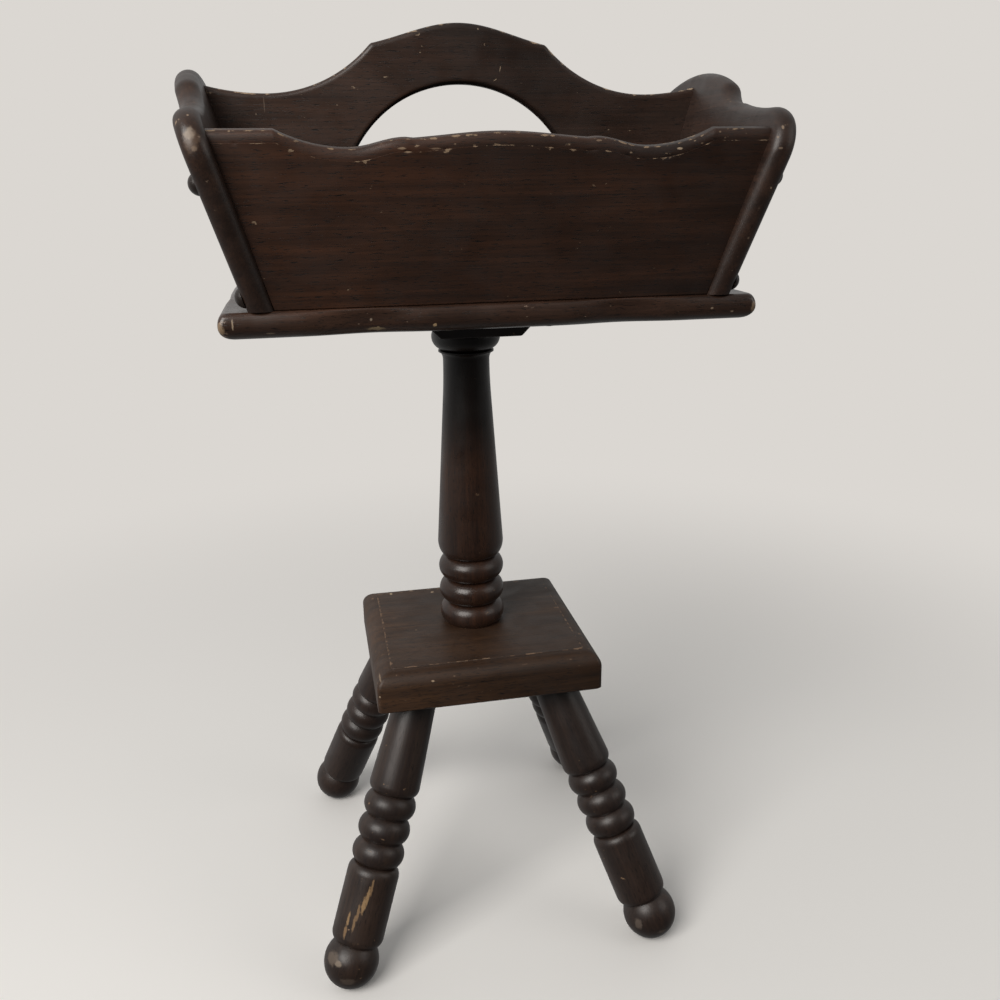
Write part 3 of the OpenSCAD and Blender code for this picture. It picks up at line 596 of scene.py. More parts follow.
# Chips along the step and the crest: [x, half length, depth] in millimetres
front_chips = [
    (-63, 4, 0.8), (-39, 5, 0.6), (59, 5, 0.9), (84, 2.5, 0.7), (113, 5, 1.0), (141, 2, 0.5), (-169, 2, 0.6)]
front_spots = (
    ((-65.4, -169.9, 681.6), (3, 2.5, 0.8), 0.65, "#a68d72"),
    ((-44, -170, 681.4), (4.5, 2.5, 0.6), 0.5, "#957c64"),
    ((63.1, -169.1, 685.6), (2.4, 2.5, 0.7), 0.5, "#957c64"),
    ((85.2, -169, 678), (1.2, 2.5, 0.7), 0.6, "#a08870"),
    ((119.1, -169.1, 680.3), (2.2, 2.5, 0.9), 0.75, "#b09a80"),
    ((146.2, -170.4, 690.5), (0.9, 2, 0.7), 0.5, "#957c64"),
    ((-169.3, -169.5, 692.2), (1, 2, 0.7), 0.6, "#a08870"),
)
for name, node, side, chips, shift, spots in (
    ("front_side", "front_panel", -1, front_chips, (0.6, 1.9, 0.8), front_spots),
    ("back_side", "back_panel", 1, [], (3.2, 1.2, 0.9), ()),
):
    slope = tan(panel_lean)
    widest = inner_face(corner_height * cos(panel_lean))
    rings, wear_and_shade = [], []
    for top_x in steps(-widest, widest, 360):
        height = panel_top(top_x)
        share = top_x / inner_face(height * cos(panel_lean))
        chip = 0.0
        for x, half, depth in chips:
            chip = max(chip, depth * mm * max(0, 1 - ((top_x / mm - x) / half) ** 2))
        ragged = noise.noise(Vector((top_x / ragged_length, 3.7 * side, 0.4)))
        chip += max(0, ragged - ragged_from) * ragged_depth
        # Depth in the panel, height up it and wear, from the foot over the top and down inside
        step_height = height - thumb_height
        line = [(foot_bevel, -foot_bevel * slope, 0.0), (0, foot_bevel, 0.0), (0, height * 0.6, 0.0),
                (0, step_height - 3.0 * mm, 0.0), (0, step_height - thumb_step - chip * 0.6, 0.5),
                (chip * 0.5, step_height - 0.2 * mm, 1.0), (thumb_step + chip * 0.4, step_height, 0.4)]
        line += [(thumb_step + (thumb_depth - thumb_step) * (1 - cos(radians(a))),
                  height - thumb_height * (1 - sin(radians(a))),
                  thumb_wear + crest_wear * exp(-((a - crest_at) / crest_width) ** 2))
                 for a in steps(9, 90, 9)]
        line += [(panel_thickness - inner_round - margin, height, 0.5)]
        line += [(panel_thickness - inner_round * (1 - sin(a)), height - inner_round * (1 - cos(a)), 0.5)
                 for a in steps(0, pi / 2, 5)]
        line += [(panel_thickness, height - inner_round - 2 * mm, 0.0), (panel_thickness, height * 0.5, 0.0),
                 (panel_thickness, foot_bevel - panel_thickness * slope, 0.0),
                 (panel_thickness - foot_bevel, -(panel_thickness - foot_bevel) * slope, 0.0)]
        ring = []
        for depth, rise, value in line:
            z = depth * sin(panel_lean) + rise * cos(panel_lean)
            y = -floor_half_depth + depth * cos(panel_lean) - rise * sin(panel_lean)
            ring.append((share * inner_face(z), -side * y, base_top + z))
            wear_and_shade.append(value)
        rings.append(ring)
    mesh = ring_shell(name, rings)
    write_wear_and_shade(mesh, wear_and_shade)
    # The fade is painted light from the left: the panel's colour darkens from its left end to its right
    finish_wood(mesh, stained_wood(
        "walnut_stained_lacquered_" + name, light="#4a2d1d", middle="#382216", dark="#261710", gloss=0.46,
        bare="#87715a", rubbed=1.08, spots=spots, fade=("X", -0.16, 0.16, 1.15, 0.58)),
        (1, 0, 0), (0, 0, 1), shift)
    piece = place_piece(name, mesh)
    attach(piece, "root")
    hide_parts(node)


# ----------------------------------------------------------------- divider
# Middle board of the trough and the stand's handle: its top edge sweeps up to
# a crown over a half-moon hand hole. Edge and hole are rounded on both faces.
divider_half_thickness = 6 * mm
divider_end, divider_dip, divider_shoulder, divider_crown = 150 * mm, 144.5 * mm, 180 * mm, 195 * mm
divider_dip_at, divider_shoulder_at = 150 * mm, 68.5 * mm
shoulder_soft = 1.5 * mm
hole_bottom, hole_top, hole_radius, hole_corner = 94 * mm, 151.5 * mm, 97 * mm, 8 * mm
handle_round_height, handle_round_depth = 4 * mm, 3.2 * mm
handle_wear, arris_wear, arris_at, arris_width = 0.15, 0.8, 60, 16
unworn_foot = 20 * mm
# Least painted shade inside the hand hole, and how far to the right it eases to that
hole_shade_least, hole_shade_reach = 0.45, 60 * mm
end_x = inner_face(divider_end)


def divider_top(x):
    """Height of the divider's top edge over the trough's floor."""
    x = abs(x)
    if x <= divider_shoulder_at:
        return divider_shoulder + (divider_crown - divider_shoulder) * arch(x / divider_shoulder_at)
    if x <= divider_dip_at:
        run = divider_dip_at - divider_shoulder_at - shoulder_soft
        rise = divider_shoulder - divider_dip - shoulder_soft
        s = divider_dip_at - x
        return divider_dip + sweep_up(run, rise, min(run, s)) + max(0, s - run)
    return divider_dip + sweep_up(end_x - divider_dip_at, divider_end - divider_dip, x - divider_dip_at)


divider_spots = (
    ((-157.7, -6, 711.3), (0.6, 2, 0.8), 0.6, "#9a8570"),
    ((-96.6, -6, 717.6), (1, 2, 0.5), 0.5, "#9a8570"),
    ((-151.2, -6, 718), (0.35, 2, 6.5), 0.4, "#8d7966"),
    ((31.5, -6, 743.8), (0.35, 2, 2.6), 0.6, "#b39b80", (0.25, 0, 1)),
    ((27.3, -6, 735.9), (0.35, 2, 1.8), 0.6, "#b39b80", (1, 0, 0.6)),
    ((14.5, -5, 772), (1, 2, 1), 0.8, "#a8937b"),
)
top_line = [(x, divider_top(x)) for x in steps(end_x, -end_x, 240)]
hole_centre, corner_rise = hole_top - hole_radius, hole_bottom + hole_corner
corner_x = sqrt((hole_radius - hole_corner) ** 2 - (corner_rise - hole_centre) ** 2)
corner_turn = degrees(atan2(corner_rise - hole_centre, corner_x))
hole_loop = arc((corner_x, corner_rise), hole_corner, -90, corner_turn, 14)
hole_loop += arc((0, hole_centre), hole_radius, corner_turn, 180 - corner_turn, 80)[1:-1]
hole_loop += arc((-corner_x, corner_rise), hole_corner, 180 - corner_turn, 270, 14)


def edge_line(inset):
    """The divider's outline drawn in, but for its foot; its ends stay on the end boards."""
    moved = drawn_in(top_line, inset)
    for i in (0, -1):
        x, z = top_line[i]
        moved[i] = (copysign(inner_face(z - inset), x), z - inset)
    return [(-floor_half_length, 0), (floor_half_length, 0)] + moved


handle_profile = [(-divider_half_thickness, handle_round_height + margin, 0.0)]
handle_profile += [
    (-divider_half_thickness + handle_round_depth * (1 - cos(radians(a))),
     handle_round_height * (1 - sin(radians(a))),
     handle_wear + arris_wear * exp(-((a - arris_at) / arris_width) ** 2))
    for a in steps(0, 90, 8)]
handle_profile += [(-y, inset, value) for y, inset, value in reversed(handle_profile)]
points, wear_and_shade, faces, sides = [], [], [], []
for count, hole in ((len(top_line) + 2, False), (len(hole_loop), True)):
    first = len(points)
    for y, inset, value in handle_profile:
        for x, z in drawn_in(hole_loop, -inset, True) if hole else edge_line(inset):
            points.append((x, y, base_top + z))
            if hole:
                # Painted shade inside the hand hole: full on its left, whose wall faces away from the light,
                # and less towards its right
                inside = abs(y) < divider_half_thickness - 0.5 * mm
                hole_shade = min(1, max(hole_shade_least, 1 - x / hole_shade_reach))
                wear_and_shade.append(-hole_shade if inside else 0.0)
            else:
                wear_and_shade.append(value if z > unworn_foot else 0.0)
    for r in range(first, len(points) - count, count):
        faces += [(r + i, r + (i + 1) % count, r + count + (i + 1) % count, r + count + i)
                  for i in range(count)]
    sides.append((list(range(first, first + count)), list(range(len(points) - count, len(points)))))
for outer, hole in zip(*sides):
    flat = [[Vector((points[i][0], points[i][2], 0)) for i in loop] for loop in (outer, hole)]
    faces += [tuple((outer + hole)[i] for i in triangle) for triangle in geometry.tessellate_polygon(flat)]
mesh = bpy.data.meshes.new("handle_divider")
mesh.from_pydata(points, [], faces)
write_wear_and_shade(mesh, wear_and_shade)
# The fade is painted light: the divider's colour is lighter towards its left end
finish_wood(mesh, stained_wood(
    "walnut_stained_lacquered_divider", light="#432e24", middle="#34231a", dark="#241813", gloss=0.42,
    bare="#a08a72", rubbed=1.15, spots=divider_spots, fade=("X", -0.17, 0.05, 1.25, 0.75)),
    (1, 0, 0), (0, 0, 1), (1.7, 2.6, 0.3))
handle_divider = place_piece("handle_divider", mesh)
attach(handle_divider, "root")
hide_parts("divider")


# ------------------------------------------------------------------- cleat
# Block across the underside of the base board that takes the post's upper
# tenon. Sawn from thick stock with bevelled lower edges, stained darker, glued
# and held by four screws.
cleat_half_width, cleat_half_length, cleat_thickness, cleat_bevel = 39 * mm, 78 * mm, 17.5 * mm, 7 * mm
cleat_arris, cleat_wear = 1.2 * mm, 0.2
section = [
    (-cleat_half_width + cleat_bevel, 0), (cleat_half_width - cleat_bevel, 0),
    (cleat_half_width, cleat_bevel), (cleat_half_width, cleat_thickness),
    (-cleat_half_width, cleat_thickness), (-cleat_half_width, cleat_bevel)]
mesh = ring_shell("post_cleat", [
    [(x, y, cleat_bottom + z) for x, z in section] for y in (-cleat_half_length, cleat_half_length)])
high = cleat_bottom + cleat_thickness - 1e-6
with edited(mesh) as bm:
    bmesh.ops.recalc_face_normals(bm, faces=bm.faces)
    bmesh.ops.bevel(
        bm, geom=[e for e in bm.edges if not all(v.co.z > high for v in e.verts)], offset=cleat_arris,
        segments=3, profile=0.5, affect="EDGES", clamp_overlap=True)
post_cleat = place_piece("post_cleat", mesh)
cleat_screw_spots = [(sx * 23 * mm, sy * 55 * mm) for sx in (-1, 1) for sy in (-1, 1)]
mesh = drill(post_cleat, cleat_screw_spots, cleat_bottom, sink_mouth, sink_end, sink_depth)
write_wear_and_shade(mesh, [cleat_wear] * len(mesh.vertices))
finish_wood(mesh, stained_wood(
    "dark_walnut_stained_cleat", light="#261a14", middle="#1c1310", dark="#130d0c", gloss=0.46),
    (0, 1, 0), (1, 0, 0), (0.2, 3.1, 1.0))
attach(post_cleat, "root")
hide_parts("cleat")


# ------------------------------------------------- screws and their buttons
# Slotted countersunk steel screws hold the boards: up through the base and the
# cleat, and in through the end boards, where turned wooden buttons hide them.
screw_head, screw_shank, screw_cone, screw_point = 4.1 * mm, 2.0 * mm, 2.6 * mm, 5 * mm
slot_width, slot_depth = 0.9 * mm, 1.1 * mm
head_sunk, head_rim = 0.15 * mm, 0.3 * mm
plug_depth = 5 * mm
button_radius, button_height, plug_radius, button_wear = 7 * mm, 5 * mm, 4.8 * mm, 0.3
slot_turn, first_turn = 2.4, 0.3  # radians from one fixing's turn to the next, and at the first
least_step = 0.01 * mm  # rise between two points of a turned outline at one height


def node_group(name, inputs):
    """A new geometry node tree with its named inputs, and their sockets."""
    tree = bpy.data.node_groups.new(name, "GeometryNodeTree")
    for label, kind in inputs.items():
        tree.interface.new_socket(label, in_out="INPUT", socket_type="NodeSocket" + kind)
    tree.interface.new_socket("Made", in_out="OUTPUT", socket_type="NodeSocketGeometry")
    return tree, add(tree, "NodeGroupInput").outputs


def close_group(tree, made, material):
    """Gives out what the tree has made, as one mesh in its material."""
    single = add(tree, "GeometryNodeRealizeInstances", {"Geometry": made})
    finished = add(tree, "GeometryNodeSetMaterial", {
        "Geometry": single.outputs["Geometry"], "Material": material})
    add(tree, "NodeGroupOutput", {"Made": finished.outputs["Geometry"]})


turning, given = node_group("turned_on_a_lathe", {
    "Outline": "Geometry", "Sides": "Int", "Material": "Material"})
centre_line = add(turning, "GeometryNodeMeshToCurve", {"Mesh": given["Outline"]})
radius = add(turning, "GeometryNodeInputNamedAttribute", {"Name": "turn_radius"}, data_type="FLOAT")
circle = add(turning, "GeometryNodeCurvePrimitiveCircle", {"Resolution": given["Sides"], "Radius": 1.0})
solid = add(turning, "GeometryNodeCurveToMesh", {
    "Curve": centre_line.outputs["Curve"], "Profile Curve": circle.outputs["Curve"],
    "Scale": radius.outputs["Attribute"], "Fill Caps": True})
close_group(turning, solid.outputs["Mesh"], given["Material"])

fixing, given = node_group("fixings_in_place", {
    "Places": "Geometry", "Fixing": "Object", "Size": "Float", "Material": "Material"})
pattern = add(fixing, "GeometryNodeObjectInfo", {"Object": given["Fixing"], "As Instance": True})
facing = add(fixing, "GeometryNodeInputNamedAttribute", {"Name": "facing"}, data_type="FLOAT_VECTOR")
turn = add(fixing, "FunctionNodeEulerToRotation", {"Euler": facing.outputs["Attribute"]})
copies = add(fixing, "GeometryNodeInstanceOnPoints", {
    "Points": given["Places"], "Instance": pattern.outputs["Geometry"], "Rotation": turn.outputs["Rotation"],
    "Scale": given["Size"]})
close_group(fixing, copies.outputs["Instances"], given["Material"])


def run_tree(piece, tree, values):
    """Runs a node tree on a piece with its named inputs set, and keeps the plain mesh."""
    modifier = piece.modifiers.new(tree.name, "NODES")
    modifier.node_group = tree
    for item in tree.interface.items_tree:
        if item.in_out == "INPUT" and item.name in values:
            modifier[item.identifier] = values[item.name]
    return evaluated(piece)


def turned(name, line, sides, material):
    """Turns a piece on the Z axis from its outline of (radius, height) points."""
    outline = [line[0]]
    for radius, height in line[1:]:
        outline.append((radius, max(height, outline[-1][1] + least_step)))
    mesh = bpy.data.meshes.new(name)
    mesh.from_pydata(
        [(0, 0, height) for _, height in outline], [(i, i + 1) for i in range(len(outline) - 1)], [])
    mesh.attributes.new("turn_radius", "FLOAT", "POINT").data.foreach_set("value", [r for r, _ in outline])
    piece = place_piece(name, mesh)
    with edited(run_tree(piece, turning, {"Sides": sides, "Material": material})) as bm:
        bmesh.ops.remove_doubles(bm, verts=bm.verts, dist=0.001 * mm)
    return piece


steel = bpy.data.materials.new("zinc_plated_steel_pressed")
steel.use_nodes = True
tree = steel.node_tree
where = add(tree, "ShaderNodeTexCoord").outputs["Object"]
# Dull grey film over bright metal, in patches of about 3 mm
film = add(tree, "ShaderNodeTexNoise", {"Vector": where, "Scale": 1 / (3 * mm), "Detail": 4.0}).outputs["Fac"]
metal = tree.nodes["Principled BSDF"]
tree.links.new(mixed(tree, film, linear("#a5a29b"), linear("#6b675f")), metal.inputs["Base Color"])
tree.links.new(ranged(tree, film, 0.0, 1.0, 0.25, 0.55), metal.inputs["Roughness"])
metal.inputs["Metallic"].default_value = 1.0


def screw(name, length):
    """One slotted screw with its head's face at the origin and its point towards +Z."""
    blank = turned(name, [
        (0, head_sunk), (screw_head, head_sunk + least_step), (screw_head, head_sunk + head_rim),
        (screw_shank, head_sunk + screw_cone), (screw_shank, length - screw_point), (0, length)], 24, steel)
    slot = bmesh.new()
    slot_size = (4 * screw_head, slot_width, 2 * slot_depth, 1)
    bmesh.ops.create_cube(slot, size=1.0, matrix=Matrix.Diagonal(slot_size))
    cut_away(blank, slot)
    return blank


def set_fixings(name, fixing_piece, matrices, material):
    """Copies one fixing to each matrix, through the node tree."""
    mesh = bpy.data.meshes.new(name)
    mesh.from_pydata([m.to_translation() for m in matrices], [], [])
    turns = [angle for m in matrices for angle in m.to_euler("XYZ")]
    mesh.attributes.new("facing", "FLOAT_VECTOR", "POINT").data.foreach_set("vector", turns)
    piece = place_piece(name, mesh)
    run_tree(piece, fixing, {"Fixing": fixing_piece, "Size": 1.0, "Material": material})
    settle(piece.data)
    return piece


def pointing(way):
    """The turn that takes +Z to a way."""
    return way.to_track_quat("Z", "Y").to_matrix().to_4x4()


def spun(place, turn, index):
    """A fixing's place and turn, left at its own angle as a hand leaves it."""
    return Matrix.Translation(place) @ turn @ Matrix.Rotation(slot_turn * index + first_turn, 4, "Z")


long_screw, short_screw, side_screw = (
    screw(name, length * mm)
    for name, length in (("base_blank", 32), ("cleat_blank", 30), ("side_blank", 36)))
base_fixings, cleat_fixings = (
    set_fixings(name, blank, [
        spun((x, y, bottom), Matrix.Identity(4), i) for i, (x, y) in enumerate(places)], steel)
    for name, blank, places, bottom in (
        ("base_fixings", long_screw, base_screw_spots, base_bottom),
        ("cleat_fixings", short_screw, cleat_screw_spots, cleat_bottom)))
# [depth, rise] of the screws in one end board, as in the CAD
side_screw_spots = [(sign * y * mm, rise * mm) for y, rise in ((146.9, 14), (162.1, 88)) for sign in (-1, 1)]
side_screw_spots += [(0, 14 * mm), (0, 112 * mm)]

dome = (button_radius ** 2 + button_height ** 2) / (2 * button_height)
rim = degrees(asin(button_radius / dome))
button_line = [(0, 0.1 * mm - plug_depth), (plug_radius, 0.11 * mm - plug_depth), (plug_radius, 0)]
button_line += arc((0, button_height - dome), dome, 90 - rim, 90, 12)
button_wood = stained_wood(
    "dark_walnut_stained_buttons", light="#2c1d16", middle="#21160f", dark="#150e0c", gloss=0.36,
    bare="#6d5846")
button_blank = turned("button_blank", button_line, 36, button_wood)
for side, sign in (("left", mirror_x), ("right", Matrix.Identity(4))):
    screws, buttons = [], []
    for i, (y, rise) in enumerate(side_screw_spots):
        seat, face = (
            sign @ right_end_frame @ Vector((y, rise, end_thickness - deep)) for deep in (plug_depth, 0))
        out = (face - seat).normalized()
        screws.append(spun(seat, pointing(-out), i))
        buttons.append(spun(face, pointing(out), i))
    hidden = set_fixings(side + "_end_fixings", side_screw, screws, steel)
    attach(hidden, "root")
    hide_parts(side + "_end_screws")
    shown = set_fixings(side + "_screw_covers", button_blank, buttons, button_wood)
    write_wear_and_shade(shown.data, [button_wear] * len(shown.data.vertices))
    lay_grain(shown.data, (0, 0.3, 1), (0, 1, -0.3), (0.4, 0.4, 0.4))
    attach(shown, "root")
    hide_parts(side + "_buttons")
for piece, node in ((base_fixings, "base_screws"), (cleat_fixings, "cleat_screws")):
    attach(piece, "root")
    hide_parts(node)
for blank in (long_screw, short_screw, side_screw, button_blank):
    bpy.data.objects.remove(blank)


# -------------------------------------------------------------------- post
# Column between the cleat and the plate, turned in one piece: three rings at
# its foot, a long taper, a hollow neck, a thin lip and a round cap, with a
# tenon at each end. Stained and lacquered, redder where the stain wore thin.
post_height, post_radius, neck_radius, neck_swell = 275 * mm, 29.7 * mm, 20 * mm, 0.8 * mm
post_rings, post_pitch, post_ring, post_groove = 3, 22.5 * mm, 29.6 * mm, 21.8 * mm
ring_cut, post_shoulder = 2 * mm, 14 * mm
cap_height, cap_edge, cap_radius = 20.5 * mm, 22.6 * mm, 29.4 * mm
cove, lip, lip_radius, lip_groove = 7 * mm, 2.5 * mm, 23.8 * mm, 1.0 * mm
tenon_radius, foot_tenon, head_tenon = 12.5 * mm, 20 * mm, 14 * mm
post_wear, post_wear_from, post_wear_full, post_wear_rise = 0.15, 27 * mm, 30 * mm, 65 * mm


def bulge(low, high, inner, outer, count=16):
    """Circular bulge of a turned outline between two heights."""
    half, depth = (high - low) / 2, outer - inner
    r = (half * half + depth * depth) / (2 * depth)
    reach = asin(min(1, half / r))
    return [(outer - r + r * cos(a), (low + high) / 2 + r * sin(a)) for a in steps(-reach, reach, count)]


def shoulder(low, high, groove, outer):
    """Quarter of an ellipse that leaves a groove level and ends upright."""
    return [(groove + (outer - groove) * sin(a), low + (high - low) * (1 - cos(a)))
            for a in steps(0, pi / 2, 14)]


rings_top = post_rings * post_pitch - ring_cut
taper_low, cap_low = rings_top + post_shoulder, post_height - cap_height
neck_top = cap_low - lip - cove
neck_low = neck_top - 4 * cove
swollen = neck_radius + neck_swell
post_line = [(0, -foot_tenon), (tenon_radius, least_step - foot_tenon), (tenon_radius, 0),
             (post_groove + (post_ring - post_groove) * ring_cut / (4 * mm), least_step)]
for i in range(post_rings):
    post_line += [p for p in bulge(i * post_pitch - ring_cut, (i + 1) * post_pitch - ring_cut,
                                   post_groove, post_ring) if p[1] > 0.5 * mm]
post_line += shoulder(rings_top, taper_low, post_groove, post_radius)
post_line += [(post_radius + (swollen - post_radius) * t, taper_low + (neck_low - taper_low) * t)
              for t in steps(0, 1, 12)[1:-1]]
post_line += [(neck_radius + neck_swell * (1 - t) ** 2, neck_low + (neck_top - neck_low) * t)
              for t in steps(0, 1, 8)]
post_line += [(neck_radius + (lip_radius - neck_radius) * (1 - cos(a)), neck_top + cove * sin(a))
              for a in steps(0, pi / 2, 8)[1:]]
post_line += [(lip_radius, cap_low - lip_groove - 0.3 * mm), (lip_radius - 0.4 * mm, cap_low - lip_groove),
              (cap_edge - 0.8 * mm, cap_low - lip_groove + 0.1 * mm)]
post_line += bulge(cap_low, post_height, cap_edge, cap_radius)
post_line += [(tenon_radius, post_height + least_step), (tenon_radius, post_height + head_tenon),
              (0, post_height + head_tenon)]
# The fade is painted shadow: the tray's shadow, darkening the post towards its top
post_wood = stained_wood(
    "walnut_stained_lacquered_post", light="#422a1d", middle="#322017", dark="#211510", gloss=0.32,
    fade=("Z", 0.425, 0.47, 1.0, 0.22))
turned_post = turned("turned_post", post_line, 112, post_wood)
mesh = turned_post.data
mesh.transform(Matrix.Translation((0, 0, plate_top)))
write_wear_and_shade(mesh, [
    max(0, (hypot(v.co.x, v.co.y) - post_wear_from) / (post_wear_full - post_wear_from))
    * (post_wear if v.co.z < plate_top + post_wear_rise else 0.0) for v in mesh.vertices])
settle(mesh)
lay_grain(mesh, (0, 0, 1), (1, 0, 0), (0.5, 1.5, 2.5))
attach(turned_post, "root")
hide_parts("post")


# ------------------------------------------------------------------- plate
# Small thick board between the post and the legs. Its top edge is rounded over
# from a fine step that is rubbed pale, its lower edge is bevelled, and a recess
# below holds the lag screw's washer.
plate_bottom, plate_thickness = 236 * mm, 35 * mm
plate_half_length, plate_half_depth, plate_middle_y = 98 * mm, 91.5 * mm, -6 * mm
plate_round, plate_bevel, plate_corner = 13 * mm, 1.5 * mm, 3.5 * mm
plate_step, plate_step_in = 0.5 * mm, 0.8 * mm
recess_radius, recess_depth = 11.5 * mm, 8 * mm
plate_spots = (
    ((-70.3, 69.2, 271), (1.6, 2.6, 2), 0.85, "#b5a286"),
    ((-49.9, 73, 270.5), (2, 2.4, 2), 0.7, "#a8937b"),
    ((-29.7, 64.6, 271), (1.8, 2.2, 2), 0.75, "#a8937b"),
    ((-50.9, -96.6, 262.3), (1.4, 2, 1), 0.8, "#b39b80"),
    ((-96, -97.1, 253.2), (1, 2, 1), 0.8, "#a8937b"),
    ((-55.3, -15.8, 271), (0.9, 1.2, 2), 0.6, "#8d7966"),
    ((-94.5, -88, 266), (1.2, 8, 1.6), 0.6, "#97826d"),
)


def plate_ring(inset, z):
    """Rounded rectangle round the plate, drawn in by an inset, with its long sides divided."""
    ring = []
    for quarter, (sx, sy) in enumerate(((1, -1), (1, 1), (-1, 1), (-1, -1))):
        centre = (sx * (plate_half_length - plate_corner), sy * (plate_half_depth - plate_corner))
        for x, y in arc(centre, plate_corner, -90 + 90 * quarter, 90 * quarter, 6):
            ring.append((
                x * (plate_half_length - inset) / plate_half_length,
                plate_middle_y + y * (plate_half_depth - inset) / plate_half_depth, plate_bottom + z))
    full = []
    for p, q in zip(ring, ring[1:] + ring[:1]):
        full.append(p)
        if dist(p, q) > 20 * mm:
            full += [tuple(a + (b - a) * t for a, b in zip(p, q)) for t in steps(0, 1, 24)[1:-1]]
    return full


# Inset, height and wear, from below over the rounding to the step
flat_top, step_in = plate_thickness - plate_step, plate_round + plate_step_in
plate_profile = [(plate_bevel + margin, 0, 0.0), (plate_bevel, 0, 0.2), (0, plate_bevel, 0.2),
                 (0, plate_bevel + margin, 0.1)]
plate_profile += [
    (plate_round * (1 - cos(radians(a))), flat_top - plate_round * (1 - sin(radians(a))),
     0.25 if 20 < a < 80 else 0.05) for a in steps(0, 90, 12)]
plate_profile += [
    (plate_round + plate_step_in * 0.5, flat_top, 0.4), (step_in, plate_thickness, 1.0),
    (step_in + plate_step_in * 1.2, plate_thickness, 0.6),
    (step_in + plate_step_in * 3, plate_thickness, 0.0)]
plate_rings = [plate_ring(inset, z) for inset, z, _ in plate_profile]
mesh = ring_shell("foot_plate", plate_rings)
write_wear_and_shade(mesh, [value for _, _, value in plate_profile for _ in plate_rings[0]])
foot_plate = place_piece("foot_plate", mesh)
mesh = drill(foot_plate, [(0, 0)], plate_bottom, recess_radius, recess_radius - 0.01 * mm, recess_depth)
# The fade is painted light: the plate's colour is lighter towards its left end
finish_wood(mesh, stained_wood(
    "walnut_stained_lacquered_plate", light="#46301f", middle="#362417", dark="#261910", gloss=0.50,
    bare="#7a624e", rubbed=1.25, spots=plate_spots, fade=("X", -0.08, 0.08, 1.3, 0.8), coat=0.0),
    (1, 0, 0), (0, 1, 0), (2.9, 0.6, 1.3))
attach(foot_plate, "root")
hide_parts("plate")

# The lag screw and its washer keep their own solids and get plated steel
for node in ("lag_screw", "lag_washer"):
    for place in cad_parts[node].material_slots:
        place.material = steel


# -------------------------------------------------------------------- legs
# Four legs, turned alike and splayed to the plate's corners: a ball foot cut
# flat, a plain cylinder, three rings and a taper, with a tenon up in the plate.
# The stain is rubbed and knocked off in places, most on the front left leg, whose ball also has a painted
# highlight in its pale scuffs.
foot_half, root_half = 136 * mm, 59.5 * mm
ball_radius, foot_flat, leg_groove = 23.7 * mm, 1.7 * mm, 17.5 * mm
shank_length, shank_radius, leg_pitch, leg_ring = 68 * mm, 22.7 * mm, 20.9 * mm, 22.9 * mm
taper_radius, root_radius, leg_shoulder = 22.3 * mm, 17.9 * mm, 7.5 * mm
leg_tenon_radius, leg_tenon = 11 * mm, 22 * mm
leg_rings, leg_sides = 3, 96
leg_wear, leg_wear_from, leg_wear_full = 0.15, 20.5 * mm, 22.9 * mm
ball_centre = ball_radius - foot_flat
leg_length = dist((foot_half, foot_half, ball_centre), (root_half, root_half, plate_bottom))
shank_low = sqrt(ball_radius ** 2 - leg_groove ** 2)
shank_high = shank_low + shank_length
leg_rings_high = shank_high + leg_rings * leg_pitch
taper_foot = leg_rings_high + leg_shoulder
leg_line = arc((0, 0), ball_radius, -90, degrees(atan2(shank_low, leg_groove)), 36)
leg_line += shoulder(shank_low, shank_low + leg_shoulder, leg_groove, shank_radius)
leg_line += [(shank_radius, shank_low + shank_length * t) for t in (0.3, 0.5, 0.7)]
leg_line += reversed(shoulder(shank_high, shank_high - leg_shoulder, leg_groove, shank_radius))
for i in range(leg_rings):
    leg_line += bulge(shank_high + i * leg_pitch, shank_high + (i + 1) * leg_pitch, leg_groove, leg_ring)[1:]
leg_line += shoulder(leg_rings_high, taper_foot, leg_groove, taper_radius)[1:]
leg_line += [(taper_radius + (root_radius - taper_radius) * t, taper_foot + (leg_length - taper_foot) * t)
             for t in steps(0, 1, 8)[1:]] + [(root_radius, leg_length + 2 * root_radius)]
leg_tones = {
    "front_left": ("#3d2e26", "#30241e", "#231917"), "front_right": ("#392a23", "#2c211c", "#201715"),
    "back_left": ("#3f3029", "#322621", "#251b19"), "back_right": ("#392a23", "#2c211c", "#201715")}
bare_maple, raw_maple = "#8f714f", "#a3835c"
along_leg = (0.297, 0.286, 0.911)
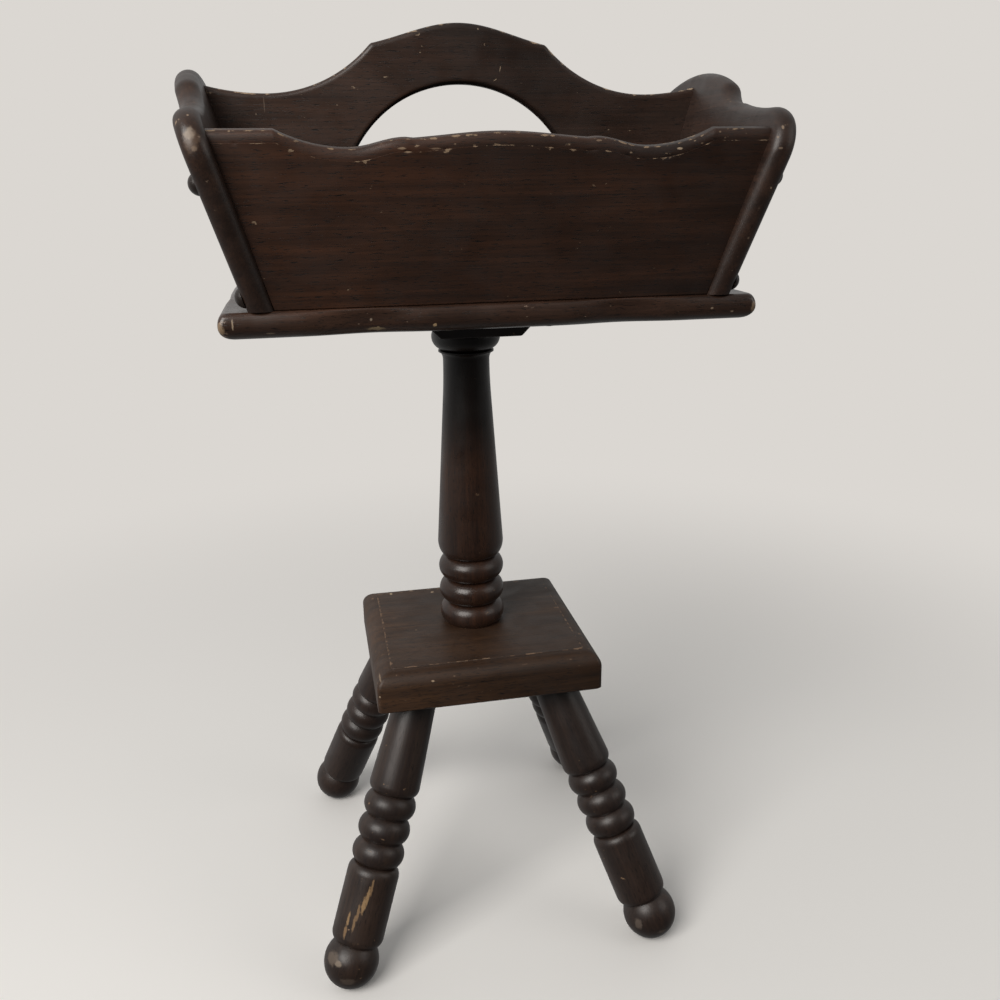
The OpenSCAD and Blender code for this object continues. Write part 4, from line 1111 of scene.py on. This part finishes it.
leg_spots = {
    "front_left": (
        ((-114.5, -136, 92.5), (1.2, 5, 9.5), 0.75, bare_maple, along_leg),
        ((-118.5, -138, 86), (1.5, 5, 10), 0.8, raw_maple, along_leg),
        ((-122.5, -140, 80), (1.9, 5, 9.5), 0.85, raw_maple, along_leg),
        ((-127.5, -141, 74.5), (1.4, 5, 9), 0.75, bare_maple, along_leg),
        ((-132, -142.5, 65), (1.3, 5, 8.5), 0.75, bare_maple, along_leg),
        ((-136, -141, 68.5), (1.2, 5, 8), 0.8, raw_maple, along_leg),
        ((-139.5, -143, 59), (1.4, 5, 7.5), 0.8, bare_maple, along_leg),
        # Pale scuffs on the ball's upper left, with a painted highlight in them
        ((-147.6, -152.3, 34.6), (4.2, 3.5, 2.8), 0.65, "#9a8a78"),
        ((-153, -147, 36), (8, 8, 6), 0.45, "#857668"),
        ((-141, -159, 20), (9, 4, 4), 0.3, "#7a6c60"),
    ),
    "front_right": (
        ((120, -152, 24), (4, 5, 6), 0.4, "#85766a"),
        ((141, -160, 17), (6, 4, 2.5), 0.35, "#85766a"),
    ),
    "back_left": (), "back_right": (),
}
for order, (corner, sx, sy) in enumerate((
        ("front_left", -1, -1), ("front_right", 1, -1), ("back_left", -1, 1), ("back_right", 1, 1))):
    light, middle, dark = leg_tones[corner]
    # The fade is painted shadow: the plate's shadow, darkening each leg towards its top
    wood = stained_wood(
        "walnut_stained_lacquered_leg_" + corner, light=light, middle=middle, dark=dark, gloss=0.40,
        bare="#8f7257", spots=leg_spots[corner], fade=("Z", 0.208, 0.232, 1.0, 0.3))
    piece = turned(corner + "_turned_leg", leg_line, leg_sides, wood)
    tenon = turned("tenon", [
        (leg_tenon_radius, leg_length - root_radius), (leg_tenon_radius, leg_length + leg_tenon),
        (0, leg_length + leg_tenon)], leg_sides, wood)
    foot = Vector((sx * foot_half, sy * foot_half, ball_centre))
    axis = (Vector((sx * root_half, sy * root_half, plate_bottom)) - foot).normalized()
    stand = Matrix.Translation(foot) @ pointing(axis)
    write_wear_and_shade(piece.data, [
        max(0, (hypot(v.co.x, v.co.y) - leg_wear_from) / (leg_wear_full - leg_wear_from)) * leg_wear
        for v in piece.data.vertices])
    write_wear_and_shade(tenon.data, [0.0] * len(tenon.data.vertices))
    with edited(tenon.data) as bm:
        bm.transform(stand)
        cut_level(bm, plate_bottom)
    with edited(piece.data) as bm:
        bm.transform(stand)
        cut_level(bm, 0.0, fill=True)
        cut_level(bm, plate_bottom, keep_above=False)
        bm.from_mesh(tenon.data)
        bmesh.ops.bridge_loops(bm, edges=[e for e in bm.edges if e.is_boundary])
    bpy.data.objects.remove(tenon)
    settle(piece.data)
    lay_grain(piece.data, axis, axis.cross(Vector((0, 0, 1))), (0.7 * order, 1.3 * order, 0.9))
    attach(piece, "root")
    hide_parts(corner + "_leg")
